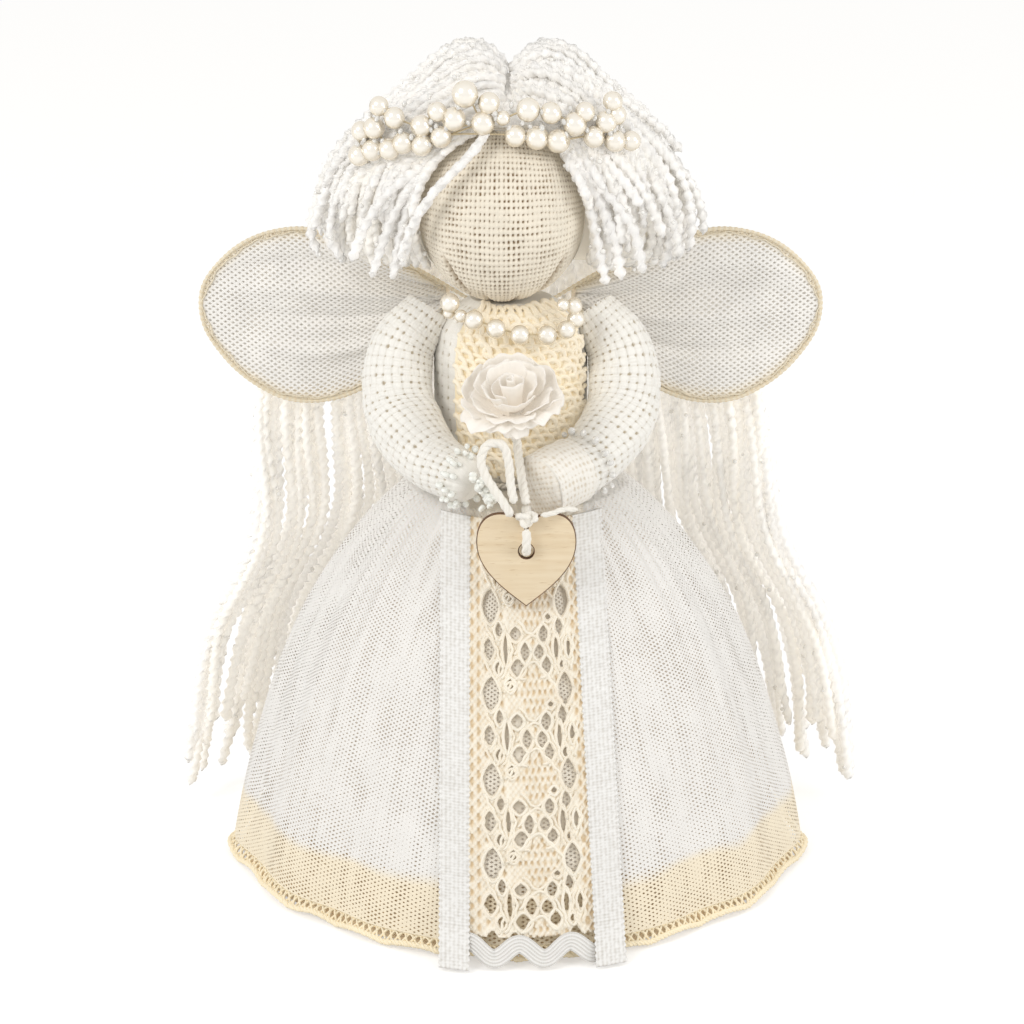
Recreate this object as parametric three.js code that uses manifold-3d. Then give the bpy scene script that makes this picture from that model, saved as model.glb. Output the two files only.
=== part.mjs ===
// Angel doll that stands on its skirt: foam cone body, linen head, yarn hair, net wings, rose and wooden heart.
// Millimetres, +Z up, the doll faces -Y, and the origin is the middle of the base disc's underside.
import * as THREE from 'three';
import Module from 'manifold-3d';
import { mergeVertices } from 'three/addons/utils/BufferGeometryUtils.js';

const wasm = await Module();
wasm.setup();

// Clearances
const fitGap = 0.3; // left between pieces that touch
const overrun = 2; // a cut runs this far past what it cuts

// Skirt form and its layers
const hemHalfWidth = 88;
const hemReach = 90; // from the axis to the hem at the front
const skirtHeight = 117; // top of the slope, under the arms
const skirtTopHalfWidth = 33.5;
const skirtBulge = 1.5; // exponent of the slope, 1 would be a straight cone
const frontRoundness = 1.75; // exponent of the plan's front half, 2 would be round
const coneFoot = 3.3; // underside of the foam above the table
const baseDiscRadius = 78;
const baseDiscThickness = 3;
const netThickness = 0.7;
const netHem = 5; // hem of the net above the table
const foldDepth = 3; // at the hem, and none at the waist
const foldCount = 13;
const gatherRise = 2.2; // the net climbs this much to its gathered edge at the waist
const liningThickness = 0.8;
const liningSlack = 1.9; // from the inside of the net to the lining at the waist
const liningHem = 20; // the white lining stops here, and the cream band goes on below it
const bandFoot = 1;
const hemLaceDrop = 4; // lace that shows below the net
const hemLaceThickness = 0.8;
const hemLaceFlare = 2.2;
const scallopCount = 27;
const scallopDepth = 1.2;

// Front panel
const panelTopDrop = 1.5; // under the skirt's top
const panelTop = skirtHeight - panelTopDrop;
const panelFoot = 8.5;
const panelThickness = 1.1;
const panelTopLeft = -14.2;
const panelTopRight = 16;
const panelFootLeft = -14.2;
const panelFootRight = 22;
const ribbonWidth = 8.6;
const ribbonThickness = 0.8;
const ribbonFoot = 1;
const ribbonFlare = 9.5; // the ribbon's tail stands this far off the hem
const panelFlare = 4.5;
const flareHeight = 24;
const rickrackWave = 2.6; // half the height of its wave
const rickrackHalfWidth = 2.1;
const rickrackThickness = 1.2;
const rickrackWaves = 2.5;
const rickrackHeight = 5.4;

// Body
const bodyLean = -2.2; // the upper body stands this far to the doll's right of the axis
const bodiceRise = 57; // this and the rises below are above the skirt's top
const bodiceTop = skirtHeight + bodiceRise;
const bodiceHalfWidth = 23;
const bodiceHalfDepth = 19;
const yokeThickness = 0.8;
const yokeTopRise = 52;
const yokeTop = skirtHeight + yokeTopRise;
const yokeFootRise = 7;
const yokeFoot = skirtHeight + yokeFootRise;
const waistCordRadius = 0.9;
const dowelRadius = 3;
const dowelFoot = 18;
const dowelTopRise = 90;
const dowelTop = skirtHeight + dowelTopRise;

// Head
const headRise = 82;
const headCentre = new THREE.Vector3(-4.8, -4, skirtHeight + headRise);
const headHalf = new THREE.Vector3(24.2, 24.5, 25.5);
const linenThickness = 1.2;
const neckOpening = 7.5;

// Arms
const shoulderHalfSpan = 23.8;
const shoulderRise = 53;
const shoulderHeight = skirtHeight + shoulderRise;
const elbowHalfSpan = 32.2;
const elbowRise = 24;
const elbowHeight = skirtHeight + elbowRise;
const elbowForward = 12;
const handHalfSpan = 10;
const handRise = 10.2;
const handHeight = skirtHeight + handRise;
const handForward = 38;
const armRadius = 10.6;
const armWireRadius = 0.8;
const cuffThickness = 1.2;
const cuffReach = 2.4; // the cuff's mouth stands this far past the hand
const beadRadius = 1.4;
const braceletThread = 0.6;
const braceletBeads = 13;

// Pearls
const necklacePearl = 3;
const necklaceSmallPearl = 2;
const necklaceTopRise = 49.5;
const necklaceHeight = skirtHeight + necklaceTopRise;
const necklaceRise = 4;
const crownPearl = 3.1;
const crownLargePearl = 3.9;
const crownHalfSpan = 41;
const crownEndRise = 104;
const crownHeight = skirtHeight + crownEndRise;
const crownRise = 5.5;
const crownEndForward = 8;
const crownForward = 18;
const crownBandRadius = 0.8;
const crownLowRow = 14;
const crownHighRow = 12;

// Rose, cords and heart
const roseRise = 24;
const roseFoot = new THREE.Vector3(-0.6, -36, skirtHeight + roseRise);
const roseTilt = new THREE.Vector3(-0.1, -0.34, 0.93).normalize();
const roseRadius = 14.5;
const roseHeight = 22;
const petalThickness = 0.6;
const cordRadius = 1.4;
const tailRadius = 0.85;
const heartWidth = 28.7;
const heartHeight = 27;
const heartThickness = 3;
const heartHoleRadius = 2.15;
const heartHoleDrop = 10.9; // from the top of the lobes to the hole's middle
const heartTilt = 8.4; // degrees off upright, along the skirt
const heartHoleFall = 6; // under the skirt's top
const heartHole = new THREE.Vector3(2.3, -50.6, skirtHeight - heartHoleFall);
const knotRise = 4.4;
const knot = new THREE.Vector3(2.4, -54, skirtHeight + knotRise);
const knotHalf = new THREE.Vector3(3.4, 2.6, 2.6);

// Wings
const wingRootX = 16.8; // from the body's middle to where the loop opens
const wingLength = 77.5;
const wingHalfWidth = 26.8;
const wingRootRise = 51.5;
const wingRootHeight = skirtHeight + wingRootRise;
const wingDroop = 4;
const wingDip = 5.5;
const wingBack = 26;
const wingBow = 1.5;
const wingWireRadius = 0.9;
const wingNetThickness = 0.7;
const wingLegLowRise = 40;
const wingLegLow = skirtHeight + wingLegLowRise;
const wingLegHighRise = 45;
const wingLegHigh = skirtHeight + wingLegHighRise;
const wingLegX = 3;

// Hair
const lobeHalf = new THREE.Vector3(33, 27, 37);
const lobeOffset = 21.5; // from the parting to a lobe's middle
const lobeBack = 8;
const lobeRise = 95;
const lobeHeight = skirtHeight + lobeRise;
const lobeFootRise = 65; // ends of the short layer
const lobeFoot = skirtHeight + lobeFootRise;
const lobeRidge = 0.9;
const lobeRidges = 5;
const forelockRadius = 2;
const forelockLoose = 5; // its end hangs this far off the head
const partingX = -3;
const longLockHalfWidth = 11;
const longLockTopHalfWidth = 2.4;
const longLockHalfThickness = 3.2;
const longLockTopRise = 83;
const longLockTop = skirtHeight + longLockTopRise;
const longLockFoot = 22;
const longLockFlare = 26; // how far the outermost lock stands off the skirt
const longLockTurn = 70; // degrees from straight back to the outermost lock
const longLockTopSpan = 27; // from the parting to the outermost lock, under the short hair
const longLockShoulderSpan = 40;
const longLockWaistSpan = 66;
const longLockBehindWing = 8;
const longLockWaistRise = 24;
const longLockWaistHeight = skirtHeight + longLockWaistRise;

// Vectors, and blends between two values
const at = (x, y, z) => new THREE.Vector3(x, y, z);
const mix = THREE.MathUtils.lerp;
const radians = THREE.MathUtils.degToRad;
const up = at(0, 0, 1);

// Piecewise-linear reading of a table of pairs, [place, value]
function readTable(table, place) {
  const next = table.findIndex((row) => row[0] >= place);
  if (next < 0) return table.at(-1)[1];
  if (next === 0) return table[0][1];
  const [before, after] = [table[next - 1], table[next]];
  return mix(before[1], after[1], (place - before[0]) / (after[0] - before[0]));
}

// A skin with shared corners, no collapsed triangles and its faces outward
function tidySkin(geometry) {
  const bare = geometry.index ? geometry : geometry.clone();
  bare.deleteAttribute('normal');
  bare.deleteAttribute('uv');
  const skin = mergeVertices(bare);
  const corners = skin.index.array;
  const kept = [];
  for (let i = 0; i < corners.length; i += 3) {
    const [a, b, c] = [corners[i], corners[i + 1], corners[i + 2]];
    if (a !== b && b !== c && c !== a) kept.push(a, b, c);
  }
  const place = skin.attributes.position;
  let volume = 0;
  const [a, b, c] = [at(0, 0, 0), at(0, 0, 0), at(0, 0, 0)];
  for (let i = 0; i < kept.length; i += 3) {
    a.fromBufferAttribute(place, kept[i]);
    b.fromBufferAttribute(place, kept[i + 1]);
    c.fromBufferAttribute(place, kept[i + 2]);
    volume += a.dot(b.cross(c));
  }
  if (volume < 0) kept.reverse();
  skin.setIndex(kept);
  return skin;
}

function toSolid(geometry) {
  const skin = tidySkin(geometry);
  return new wasm.Manifold(new wasm.Mesh({
    numProp: 3,
    vertProperties: new Float32Array(skin.attributes.position.array),
    triVerts: new Uint32Array(skin.index.array),
  }));
}

function toSkin(solid) {
  const mesh = solid.getMesh();
  const geometry = new THREE.BufferGeometry();
  geometry.setAttribute('position', new THREE.BufferAttribute(new Float32Array(mesh.vertProperties), 3));
  geometry.setIndex(Array.from(mesh.triVerts));
  return geometry;
}

const carve = (body, ...tools) => tools.reduce((left, tool) => left.subtract(tool), body);
// The main body of a carved solid, without the scraps that the tools cut loose
const mainBody = (solid) => (
  solid.decompose().reduce((main, body) => (body.volume() > main.volume() ? body : main)));

function skinFrom(points, faces) {
  const geometry = new THREE.BufferGeometry();
  geometry.setAttribute('position', new THREE.Float32BufferAttribute(points.flatMap((p) => p.toArray()), 3));
  geometry.setIndex(faces);
  return tidySkin(geometry);
}

// A skin over rings of points. The ends are capped, or the last ring joins the first when looped
function loft(rings, looped = false) {
  const sides = rings[0].length;
  const points = rings.flat();
  const faces = [];
  const spans = looped ? rings.length : rings.length - 1;
  for (let i = 0; i < spans; i += 1) {
    const low = i * sides;
    const high = ((i + 1) % rings.length) * sides;
    for (let j = 0; j < sides; j += 1) {
      const k = (j + 1) % sides;
      faces.push(low + j, low + k, high + k, low + j, high + k, high + j);
    }
  }
  if (!looped) {
    const ends = [[rings[0], 0, true], [rings.at(-1), (rings.length - 1) * sides, false]];
    ends.forEach(([ring, first, turned]) => {
      const middle = ring.reduce((sum, p) => sum.add(p), at(0, 0, 0)).divideScalar(sides);
      points.push(middle);
      for (let j = 0; j < sides; j += 1) {
        const pair = [first + j, first + ((j + 1) % sides)];
        faces.push(points.length - 1, ...(turned ? pair.reverse() : pair));
      }
    });
  }
  return skinFrom(points, faces);
}

// A tube along a route. size(t) gives its half width and half thickness
// facing(point) gives the way its thickness lies
function sweep(route, steps, sides, size, facing = null) {
  const curve = route instanceof THREE.Curve ? route : new THREE.CatmullRomCurve3(route);
  const frames = curve.computeFrenetFrames(steps, false);
  const rings = [];
  for (let i = 0; i <= steps; i += 1) {
    const t = i / steps;
    const middle = curve.getPointAt(t);
    const along = frames.tangents[i];
    const thick = facing ? facing(middle).projectOnPlane(along).normalize() : frames.normals[i];
    const wide = along.clone().cross(thick);
    const [halfWidth, halfThickness] = size(t);
    rings.push(Array.from({ length: sides }, (_, j) => {
      const turn = (j / sides) * 2 * Math.PI;
      return middle.clone()
        .addScaledVector(wide, halfWidth * Math.cos(turn))
        .addScaledVector(thick, halfThickness * Math.sin(turn));
    }));
  }
  return loft(rings);
}

const tube = (route, steps, sides, radius) => sweep(route, steps, sides, () => [radius, radius]);

// A sheet with a front and a back, in cells. gap(column, row) is the share of a cell that its opening takes
function sheet(pointAt, columns, rows, gap = () => 0) {
  const points = [];
  const faces = [];
  const corner = (column, row, side) => (side * (rows + 1) + row) * (columns + 1) + column;
  for (const side of [0, 1]) {
    for (let row = 0; row <= rows; row += 1) {
      for (let column = 0; column <= columns; column += 1) {
        points.push(pointAt(column / columns, row / rows, side));
      }
    }
  }
  const quad = (a, b, c, d) => faces.push(a, b, c, a, c, d);
  for (let row = 0; row < rows; row += 1) {
    for (let column = 0; column < columns; column += 1) {
      const share = gap(column, row);
      const outer = [0, 1].map((side) => [
        corner(column, row, side), corner(column + 1, row, side),
        corner(column + 1, row + 1, side), corner(column, row + 1, side),
      ]);
      if (share === 0) {
        quad(...outer[0]);
        quad(...[...outer[1]].reverse());
        continue;
      }
      const inner = [0, 1].map((side) => [[-1, -1], [1, -1], [1, 1], [-1, 1]].map(([right, above]) => {
        const across = (column + 0.5 + right * share / 2) / columns;
        const along = (row + 0.5 + above * share / 2) / rows;
        points.push(pointAt(across, along, side));
        return points.length - 1;
      }));
      for (let i = 0; i < 4; i += 1) {
        const j = (i + 1) % 4;
        quad(outer[0][i], outer[0][j], inner[0][j], inner[0][i]);
        quad(outer[1][j], outer[1][i], inner[1][i], inner[1][j]);
        quad(inner[0][i], inner[0][j], inner[1][j], inner[1][i]);
      }
    }
  }
  for (let column = 0; column < columns; column += 1) {
    quad(corner(column + 1, 0, 0), corner(column, 0, 0), corner(column, 0, 1), corner(column + 1, 0, 1));
    quad(
      corner(column, rows, 0), corner(column + 1, rows, 0),
      corner(column + 1, rows, 1), corner(column, rows, 1));
  }
  for (let row = 0; row < rows; row += 1) {
    quad(corner(0, row, 0), corner(0, row + 1, 0), corner(0, row + 1, 1), corner(0, row, 1));
    quad(
      corner(columns, row + 1, 0), corner(columns, row, 0),
      corner(columns, row, 1), corner(columns, row + 1, 1));
  }
  return skinFrom(points, faces);
}

// An ellipsoid with its poles on the Y axis, so that ridges run round it from front to back
function ellipsoid(centre, half, around, along, ridge = () => 0) {
  const ball = new THREE.SphereGeometry(1, around, along);
  const place = ball.attributes.position;
  for (let i = 0; i < place.count; i += 1) {
    const spot = at(place.getX(i), place.getY(i), place.getZ(i)).normalize();
    const size = half.clone().addScalar(ridge(Math.acos(THREE.MathUtils.clamp(spot.y, -1, 1))));
    spot.multiply(size).add(centre);
    place.setXYZ(i, spot.x, spot.y, spot.z);
  }
  return tidySkin(ball);
}

const block = (low, high) => toSolid(new THREE.BoxGeometry(...high.clone().sub(low).toArray())
  .translate(...low.clone().add(high).multiplyScalar(0.5).toArray()));

// Skirt form: half width at a height, and points on it, the angle turning from the front to the doll's left
function skirtHalfWidth(height, bulge = skirtBulge) {
  return hemHalfWidth - (hemHalfWidth - skirtTopHalfWidth) * (Math.max(height, 0) / skirtHeight) ** bulge;
}

function skirtPoint(angle, height, inset, bulge = skirtBulge) {
  const front = Math.cos(angle) > 0;
  const power = front ? frontRoundness : 2;
  const reach = (Math.abs(Math.sin(angle)) ** power + Math.abs(Math.cos(angle)) ** power) ** (-1 / power);
  const half = (skirtHalfWidth(height, bulge) - inset) * reach;
  return at(half * Math.sin(angle), -half * Math.cos(angle) * (front ? hemReach / hemHalfWidth : 1), height);
}

// The foam and the lining are a straight cone, and the net bulges away from them
const conePoint = (angle, height, inset) => skirtPoint(angle, height, inset, 1);

// Front of the skirt at a place across it, with what lies on it curling forward near the table
function frontPoint(x, height, outset, flare) {
  const half = skirtHalfWidth(height) + outset;
  const depthShare = (1 - Math.abs(x / half) ** frontRoundness) ** (1 / frontRoundness);
  const curl = flare * Math.max(1 - height / flareHeight, 0) ** 2;
  return at(x, -half * (hemReach / hemHalfWidth) * depthShare - curl, height);
}

const turnsAround = (count) => Array.from({ length: count }, (_, i) => (i / count) * 2 * Math.PI);
const liningInset = netThickness + liningSlack;
const coneInset = liningInset + liningThickness + fitGap;
const coneTop = skirtHeight - netThickness - fitGap;

// Bodice: an upright barrel with oval sections, standing on the cone
const bodiceFoot = coneTop + fitGap;
const bodiceHalfShares = [[0, 0.84], [0.2, 0.92], [0.45, 1], [0.7, 1], [0.84, 0.94], [0.93, 0.78], [1, 0.5]];

function bodicePoint(angle, height, outset) {
  const share = readTable(bodiceHalfShares, (height - bodiceFoot) / (bodiceTop - bodiceFoot));
  const halfWidth = bodiceHalfWidth * share + outset;
  const halfDepth = bodiceHalfDepth * share + outset;
  return at(bodyLean + halfWidth * Math.sin(angle), -halfDepth * Math.cos(angle), height);
}

const bodiceBody = (outset) => toSolid(loft(bodiceHalfShares.map(([share]) => {
  const height = mix(bodiceFoot, bodiceTop, share) + (share === 1 ? outset : 0);
  return turnsAround(18).map((angle) => bodicePoint(angle, height, outset));
})));

// Lace over the chest, with a row of corners wherever the bodice under it has one
function yoke() {
  const knots = bodiceHalfShares.map(([share]) => mix(bodiceFoot, bodiceTop, share));
  const heights = [yokeFoot, ...knots.filter((height) => height > yokeFoot && height < yokeTop), yokeTop];
  const rows = heights.length - 1;
  return sheet((across, rise, side) => bodicePoint(
    mix(radians(-50), radians(50), across),
    heights[Math.round(rise * rows)],
    fitGap + (side === 0 ? yokeThickness : 0),
  ), 8, rows);
}

// Dowel from the cone up into the head
const dowelLow = at(0, 0, dowelFoot);
const dowelHigh = at(headCentre.x, headCentre.y, dowelTop);
const dowelBody = (grow) => toSolid(tube(
  new THREE.LineCurve3(
    dowelLow.clone().addScaledVector(up, -grow),
    dowelHigh.clone().addScaledVector(up, grow)),
  1, 10, dowelRadius + grow));

// Heights that every layer of the skirt shares, so that their facets lie parallel
function skirtHeights(foot, top) {
  const between = [liningHem, skirtHeight * 0.42, skirtHeight * 0.7];
  return [foot, ...between.filter((height) => height > foot && height < top), top];
}

function skirtCone() {
  const ring = (height) => turnsAround(36).map((angle) => conePoint(angle, height, coneInset));
  return carve(toSolid(loft([ring(coneFoot), ring(coneTop)])), dowelBody(fitGap));
}

// A layer of cloth on the cone between two heights, closed all round
function skirtLayer(foot, top) {
  const ring = (height, depth) => turnsAround(36).map((angle) => conePoint(angle, height, depth));
  return loft([
    ring(foot, liningInset), ring(top, liningInset),
    ring(top, liningInset + liningThickness), ring(foot, liningInset + liningThickness),
  ], true);
}

// Net overskirt: folds that deepen towards the hem, none under the front panel
// Its upper edge is gathered at the waist
const foldStart = radians(26);
const foldFull = radians(48);

function foldInset(angle, height) {
  const fromFront = Math.abs(angle > Math.PI ? angle - 2 * Math.PI : angle);
  const fade = THREE.MathUtils.smoothstep(fromFront, foldStart, foldFull);
  const wave = 0.5 - 0.5 * Math.cos(foldCount * angle + Math.sin(3 * angle));
  return foldDepth * fade * wave * (1 - height / skirtHeight);
}

function netOverskirt() {
  const heights = skirtHeights(netHem, skirtHeight);
  const columns = turnsAround(foldCount * 4);
  const ring = (height, depth) => columns.map((angle) => (
    skirtPoint(angle, height, depth + foldInset(angle, height))
      .addScaledVector(up, height === skirtHeight ? -depth / 2 : 0)));
  const gathered = (drop) => columns.map((angle) => (
    bodicePoint(angle, skirtHeight + gatherRise, fitGap * 2).addScaledVector(up, -drop)));
  return loft([
    ...heights.map((height) => ring(height, 0)),
    gathered(0),
    gathered(netThickness),
    ...heights.toReversed().map((height) => ring(height, netThickness)),
  ], true);
}

function hemLace() {
  const columns = turnsAround(scallopCount * 3);
  const top = netHem - fitGap;
  const inner = liningInset - fitGap;
  const ring = (drop, inset) => columns.map((angle) => {
    const scallop = scallopDepth * Math.abs(Math.sin(scallopCount * angle / 2)) * (drop > 0 ? 1 : 0);
    return skirtPoint(angle, top - drop + scallop, inset);
  });
  return loft([
    ring(0, inner - hemLaceThickness), ring(hemLaceDrop, inner - hemLaceThickness - hemLaceFlare),
    ring(hemLaceDrop, inner - hemLaceFlare), ring(0, inner),
  ], true);
}

function waistCord() {
  const height = skirtHeight + gatherRise + fitGap + waistCordRadius;
  const rings = turnsAround(20).map((angle) => {
    const middle = bodicePoint(angle, height, fitGap + waistCordRadius);
    const outward = at(Math.sin(angle), -Math.cos(angle), 0);
    return turnsAround(5).map((turn) => middle.clone()
      .addScaledVector(outward, waistCordRadius * Math.cos(turn))
      .addScaledVector(up, waistCordRadius * Math.sin(turn)));
  });
  return loft(rings, true);
}

// Front panel of bobbin lace: its openings pass the closed diamonds down the middle, one diamond in two rows
const panelColumns = 5;
const panelRows = 10;
const wideGapShare = 0.72;
const narrowGapShare = 0.46;
const ringGapShare = 0.4;

const panelEdge = (side, height) => {
  const down = (panelTop - height) / (panelTop - panelFoot);
  return side < 0 ? mix(panelTopLeft, panelFootLeft, down) : mix(panelTopRight, panelFootRight, down);
};

function lacePanel() {
  const gap = (column, row) => {
    if (column === 0 || column === panelColumns - 1) return narrowGapShare;
    const diamond = row % 2 === 0;
    if (column === 2) return diamond ? 0 : ringGapShare;
    return diamond ? wideGapShare : narrowGapShare;
  };
  return sheet((across, down, side) => {
    const height = mix(panelTop, panelFoot, down);
    const x = mix(panelEdge(-1, height), panelEdge(1, height), across);
    return frontPoint(x, height, fitGap + (side === 0 ? panelThickness : 0), panelFlare);
  }, panelColumns, panelRows, gap);
}

function ribbon(side) {
  return sheet((across, down, face) => {
    const height = mix(panelTop, ribbonFoot, down);
    const inner = panelEdge(side, height) + side * fitGap;
    const x = inner + side * ribbonWidth * (side > 0 ? across : 1 - across);
    return frontPoint(x, height, fitGap * 2 + (face === 0 ? ribbonThickness : 0), ribbonFlare);
  }, 2, 10);
}

function rickrack() {
  const left = panelFootLeft;
  const right = panelFootRight;
  const outset = fitGap + panelThickness + fitGap + rickrackThickness / 2;
  const route = Array.from({ length: 21 }, (_, i) => {
    const wave = Math.cos((i / 20) * rickrackWaves * 2 * Math.PI);
    return frontPoint(mix(left, right, i / 20), rickrackHeight + rickrackWave * wave, outset, panelFlare);
  });
  return sweep(route, 24, 5, () => [rickrackHalfWidth, rickrackThickness / 2], () => at(0, -1, 0));
}

// Head: a ball, and linen stretched over it and gathered round the neck
const headBody = (inset, sides, rows) => (
  toSolid(ellipsoid(headCentre, headHalf.clone().subScalar(inset), sides, rows)));
const headBall = () => carve(headBody(linenThickness + fitGap * 2, 14, 8), dowelBody(fitGap));

function headLinen() {
  const neck = toSolid(new THREE.CylinderGeometry(neckOpening, neckOpening, headHalf.z, 16)
    .rotateX(Math.PI / 2).translate(headCentre.x, headCentre.y, headCentre.z - headHalf.z));
  return carve(headBody(0, 18, 12), headBody(linenThickness, 14, 8), neck);
}

// Arms: stuffed sleeves from the shoulder round the elbow to the hands, which meet in front of the waist
const armWidthShares = [[0, 0.66], [0.14, 0.86], [0.32, 1], [0.55, 1], [0.78, 0.82], [0.94, 0.7], [1, 0.42]];

function armRoute(side) {
  const x = (span) => bodyLean + side * span;
  const wristSpan = mix(handHalfSpan, elbowHalfSpan, 0.58);
  return new THREE.CatmullRomCurve3([
    at(x(shoulderHalfSpan), 0, shoulderHeight),
    at(x(elbowHalfSpan), -elbowForward * 0.33, mix(shoulderHeight, elbowHeight, 0.42)),
    at(x(elbowHalfSpan), -elbowForward, elbowHeight),
    at(x(wristSpan), -mix(elbowForward, handForward, 0.54), mix(handHeight, elbowHeight, 0.28)),
    at(x(handHalfSpan), -handForward, handHeight),
  ]);
}

const armBody = (side, grow) => toSolid(sweep(armRoute(side), 12, 12, (t) => {
  const radius = armRadius * readTable(armWidthShares, t) + grow;
  return [radius, radius];
}));

function armWireRoute() {
  const halves = [-1, 1].map((side) => [0.9, 0.7, 0.45, 0.2, 0.06].map((t) => armRoute(side).getPointAt(t)));
  return [...halves[0], at(bodyLean, dowelRadius, shoulderHeight - armRadius / 2), ...halves[1].toReversed()];
}

const armWire = (grow) => toSolid(tube(armWireRoute(), 26, 5, armWireRadius + grow));

// A ring of beads round a sleeve, at a share of the arm's length
function bracelet(side, share) {
  const route = armRoute(side);
  const middle = route.getPointAt(share);
  const along = route.getTangentAt(share);
  const first = up.clone().projectOnPlane(along).normalize();
  const second = along.clone().cross(first);
  const reach = armRadius * readTable(armWidthShares, share) + fitGap + beadRadius;
  const rings = turnsAround(braceletBeads * 2).map((angle, i) => {
    const outward = first.clone().multiplyScalar(Math.cos(angle)).addScaledVector(second, Math.sin(angle));
    const radius = i % 2 === 0 ? braceletThread : beadRadius;
    return turnsAround(5).map((turn) => middle.clone()
      .addScaledVector(outward, reach + radius * Math.cos(turn))
      .addScaledVector(along, radius * Math.sin(turn)));
  });
  return toSolid(loft(rings, true));
}

// Turned-back cuff on the doll's left sleeve, open at its mouth
function cuffBody() {
  const route = armRoute(1);
  const end = route.getPointAt(1);
  const along = route.getTangentAt(1);
  const mouth = end.clone().addScaledVector(along, cuffReach);
  const points = [route.getPointAt(0.84), route.getPointAt(0.92), end, mouth];
  const radius = armRadius * readTable(armWidthShares, 0.83) + fitGap;
  const past = [...points.slice(0, 3), end.clone().addScaledVector(along, cuffReach + overrun)];
  const outside = toSolid(sweep(points, 4, 12, () => [radius + cuffThickness, radius + cuffThickness]));
  const inside = toSolid(sweep([route.getPointAt(0.78), ...past], 5, 12, () => [radius, radius]));
  return carve(outside, inside);
}

// Pearls on a thread, as one skin that swells at each pearl. radii holds one radius for each pearl
const pearlRingShares = [-0.92, -0.45, 0.45, 0.92];

function pearlString(curve, radii) {
  const sides = 7;
  const length = curve.getLength();
  const spacing = length / (radii.length - 1);
  const rings = radii.flatMap((radius, i) => pearlRingShares.map((share) => {
    const place = THREE.MathUtils.clamp((i * spacing + share * radius) / length, 0, 1);
    const past = i * spacing + share * radius - place * length;
    const along = curve.getTangentAt(place);
    const middle = curve.getPointAt(place).addScaledVector(along, past);
    const first = up.clone().projectOnPlane(along).normalize();
    const second = along.clone().cross(first);
    const reach = radius * Math.sqrt(1 - share ** 2);
    return Array.from({ length: sides }, (_, j) => {
      const turn = (j / sides) * 2 * Math.PI;
      return middle.clone()
        .addScaledVector(first, reach * Math.cos(turn))
        .addScaledVector(second, reach * Math.sin(turn));
    });
  }));
  return loft(rings);
}

const necklaceSizeShares = [1, 0, 1, 0.4, 1, 1, 1, 1, 0, 1, 0.5, 1];

function necklace() {
  const halfTurn = radians(58);
  const spots = Array.from({ length: 9 }, (_, i) => {
    const angle = mix(-halfTurn, halfTurn, i / 8);
    const height = necklaceHeight + necklaceRise * (angle / halfTurn) ** 2;
    return bodicePoint(angle, height, fitGap * 2 + yokeThickness + necklacePearl);
  });
  const radii = necklaceSizeShares.map((share) => mix(necklaceSmallPearl, necklacePearl, share));
  return pearlString(new THREE.CatmullRomCurve3(spots), radii);
}

// Crown: two rows of pearls wired together over a band that arches across the head
function crownPoint(across, raise, back) {
  const arch = 1 - across ** 2;
  return at(
    headCentre.x + crownHalfSpan * across,
    back - mix(crownEndForward, crownForward, arch),
    crownHeight + crownRise * arch + raise,
  );
}

const crownLowDrop = 2.5;
const crownHighLift = 4.8;
const crownHighBack = 1.5;
const crownBandBack = 5.4;
const crownPastShare = 1.2; // the channel in the hair runs past the crown's ends
const crownSizeShares = [0.3, 1, 0, 0.6, 0.2, 0.8];

const crownRoute = (raise, back) => new THREE.CatmullRomCurve3(Array.from({ length: 9 }, (_, i) => (
  crownPoint(mix(-1, 1, i / 8), raise, back))));

const crownLowPearls = () => (
  pearlString(crownRoute(-crownLowDrop, 0), Array.from({ length: crownLowRow }, () => crownPearl)));
const crownHighPearls = () => pearlString(
  crownRoute(crownHighLift, crownHighBack),
  Array.from({ length: crownHighRow }, (_, i) => (
    mix(crownPearl, crownLargePearl, crownSizeShares[i % crownSizeShares.length]))));

const crownBand = (grow) => toSolid(tube(crownRoute(0, crownBandBack), 16, 6, crownBandRadius + grow));
const crownChannel = () => [
  [-crownLowDrop, 0, crownPearl], [crownHighLift, crownHighBack, crownLargePearl],
].map(([raise, back, radius]) => {
  const past = (side) => crownPoint(side * crownPastShare, raise, back);
  const route = [past(-1), ...crownRoute(raise, back).points, past(1)];
  return toSolid(tube(route, 8, 6, (radius + fitGap) / Math.cos(Math.PI / 6)));
});

// Rose: cups of petals round a rolled bud, on a calyx over the cord that is its stem
const roseTurn = new THREE.Quaternion().setFromUnitVectors(up, roseTilt);
const onRose = (radius, angle, height) => (
  at(radius * Math.cos(angle), radius * Math.sin(angle), height).applyQuaternion(roseTurn).add(roseFoot));

// A cup from a table of radius and height shares, its rim lobed into petals
function petalCup(shares, lobes, phase) {
  const columns = turnsAround(lobes * 5);
  const ring = ([radiusShare, heightShare], lobing, inside) => columns.map((angle) => {
    const wave = Math.abs(Math.sin(lobes * (angle - phase) / 2)) - 0.5;
    const thickness = inside ? petalThickness : 0;
    const radius = roseRadius * radiusShare * (1 + 0.16 * wave * lobing) - thickness;
    return onRose(radius, angle, roseHeight * (heightShare + 0.05 * wave * lobing) + thickness);
  });
  const rows = shares.map((share, i) => [share, i / (shares.length - 1)]);
  return loft([
    ...rows.map(([share, lobing]) => ring(share, lobing, false)),
    ...rows.toReversed().map(([share, lobing]) => ring(share, lobing, true)),
  ], true);
}

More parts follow.
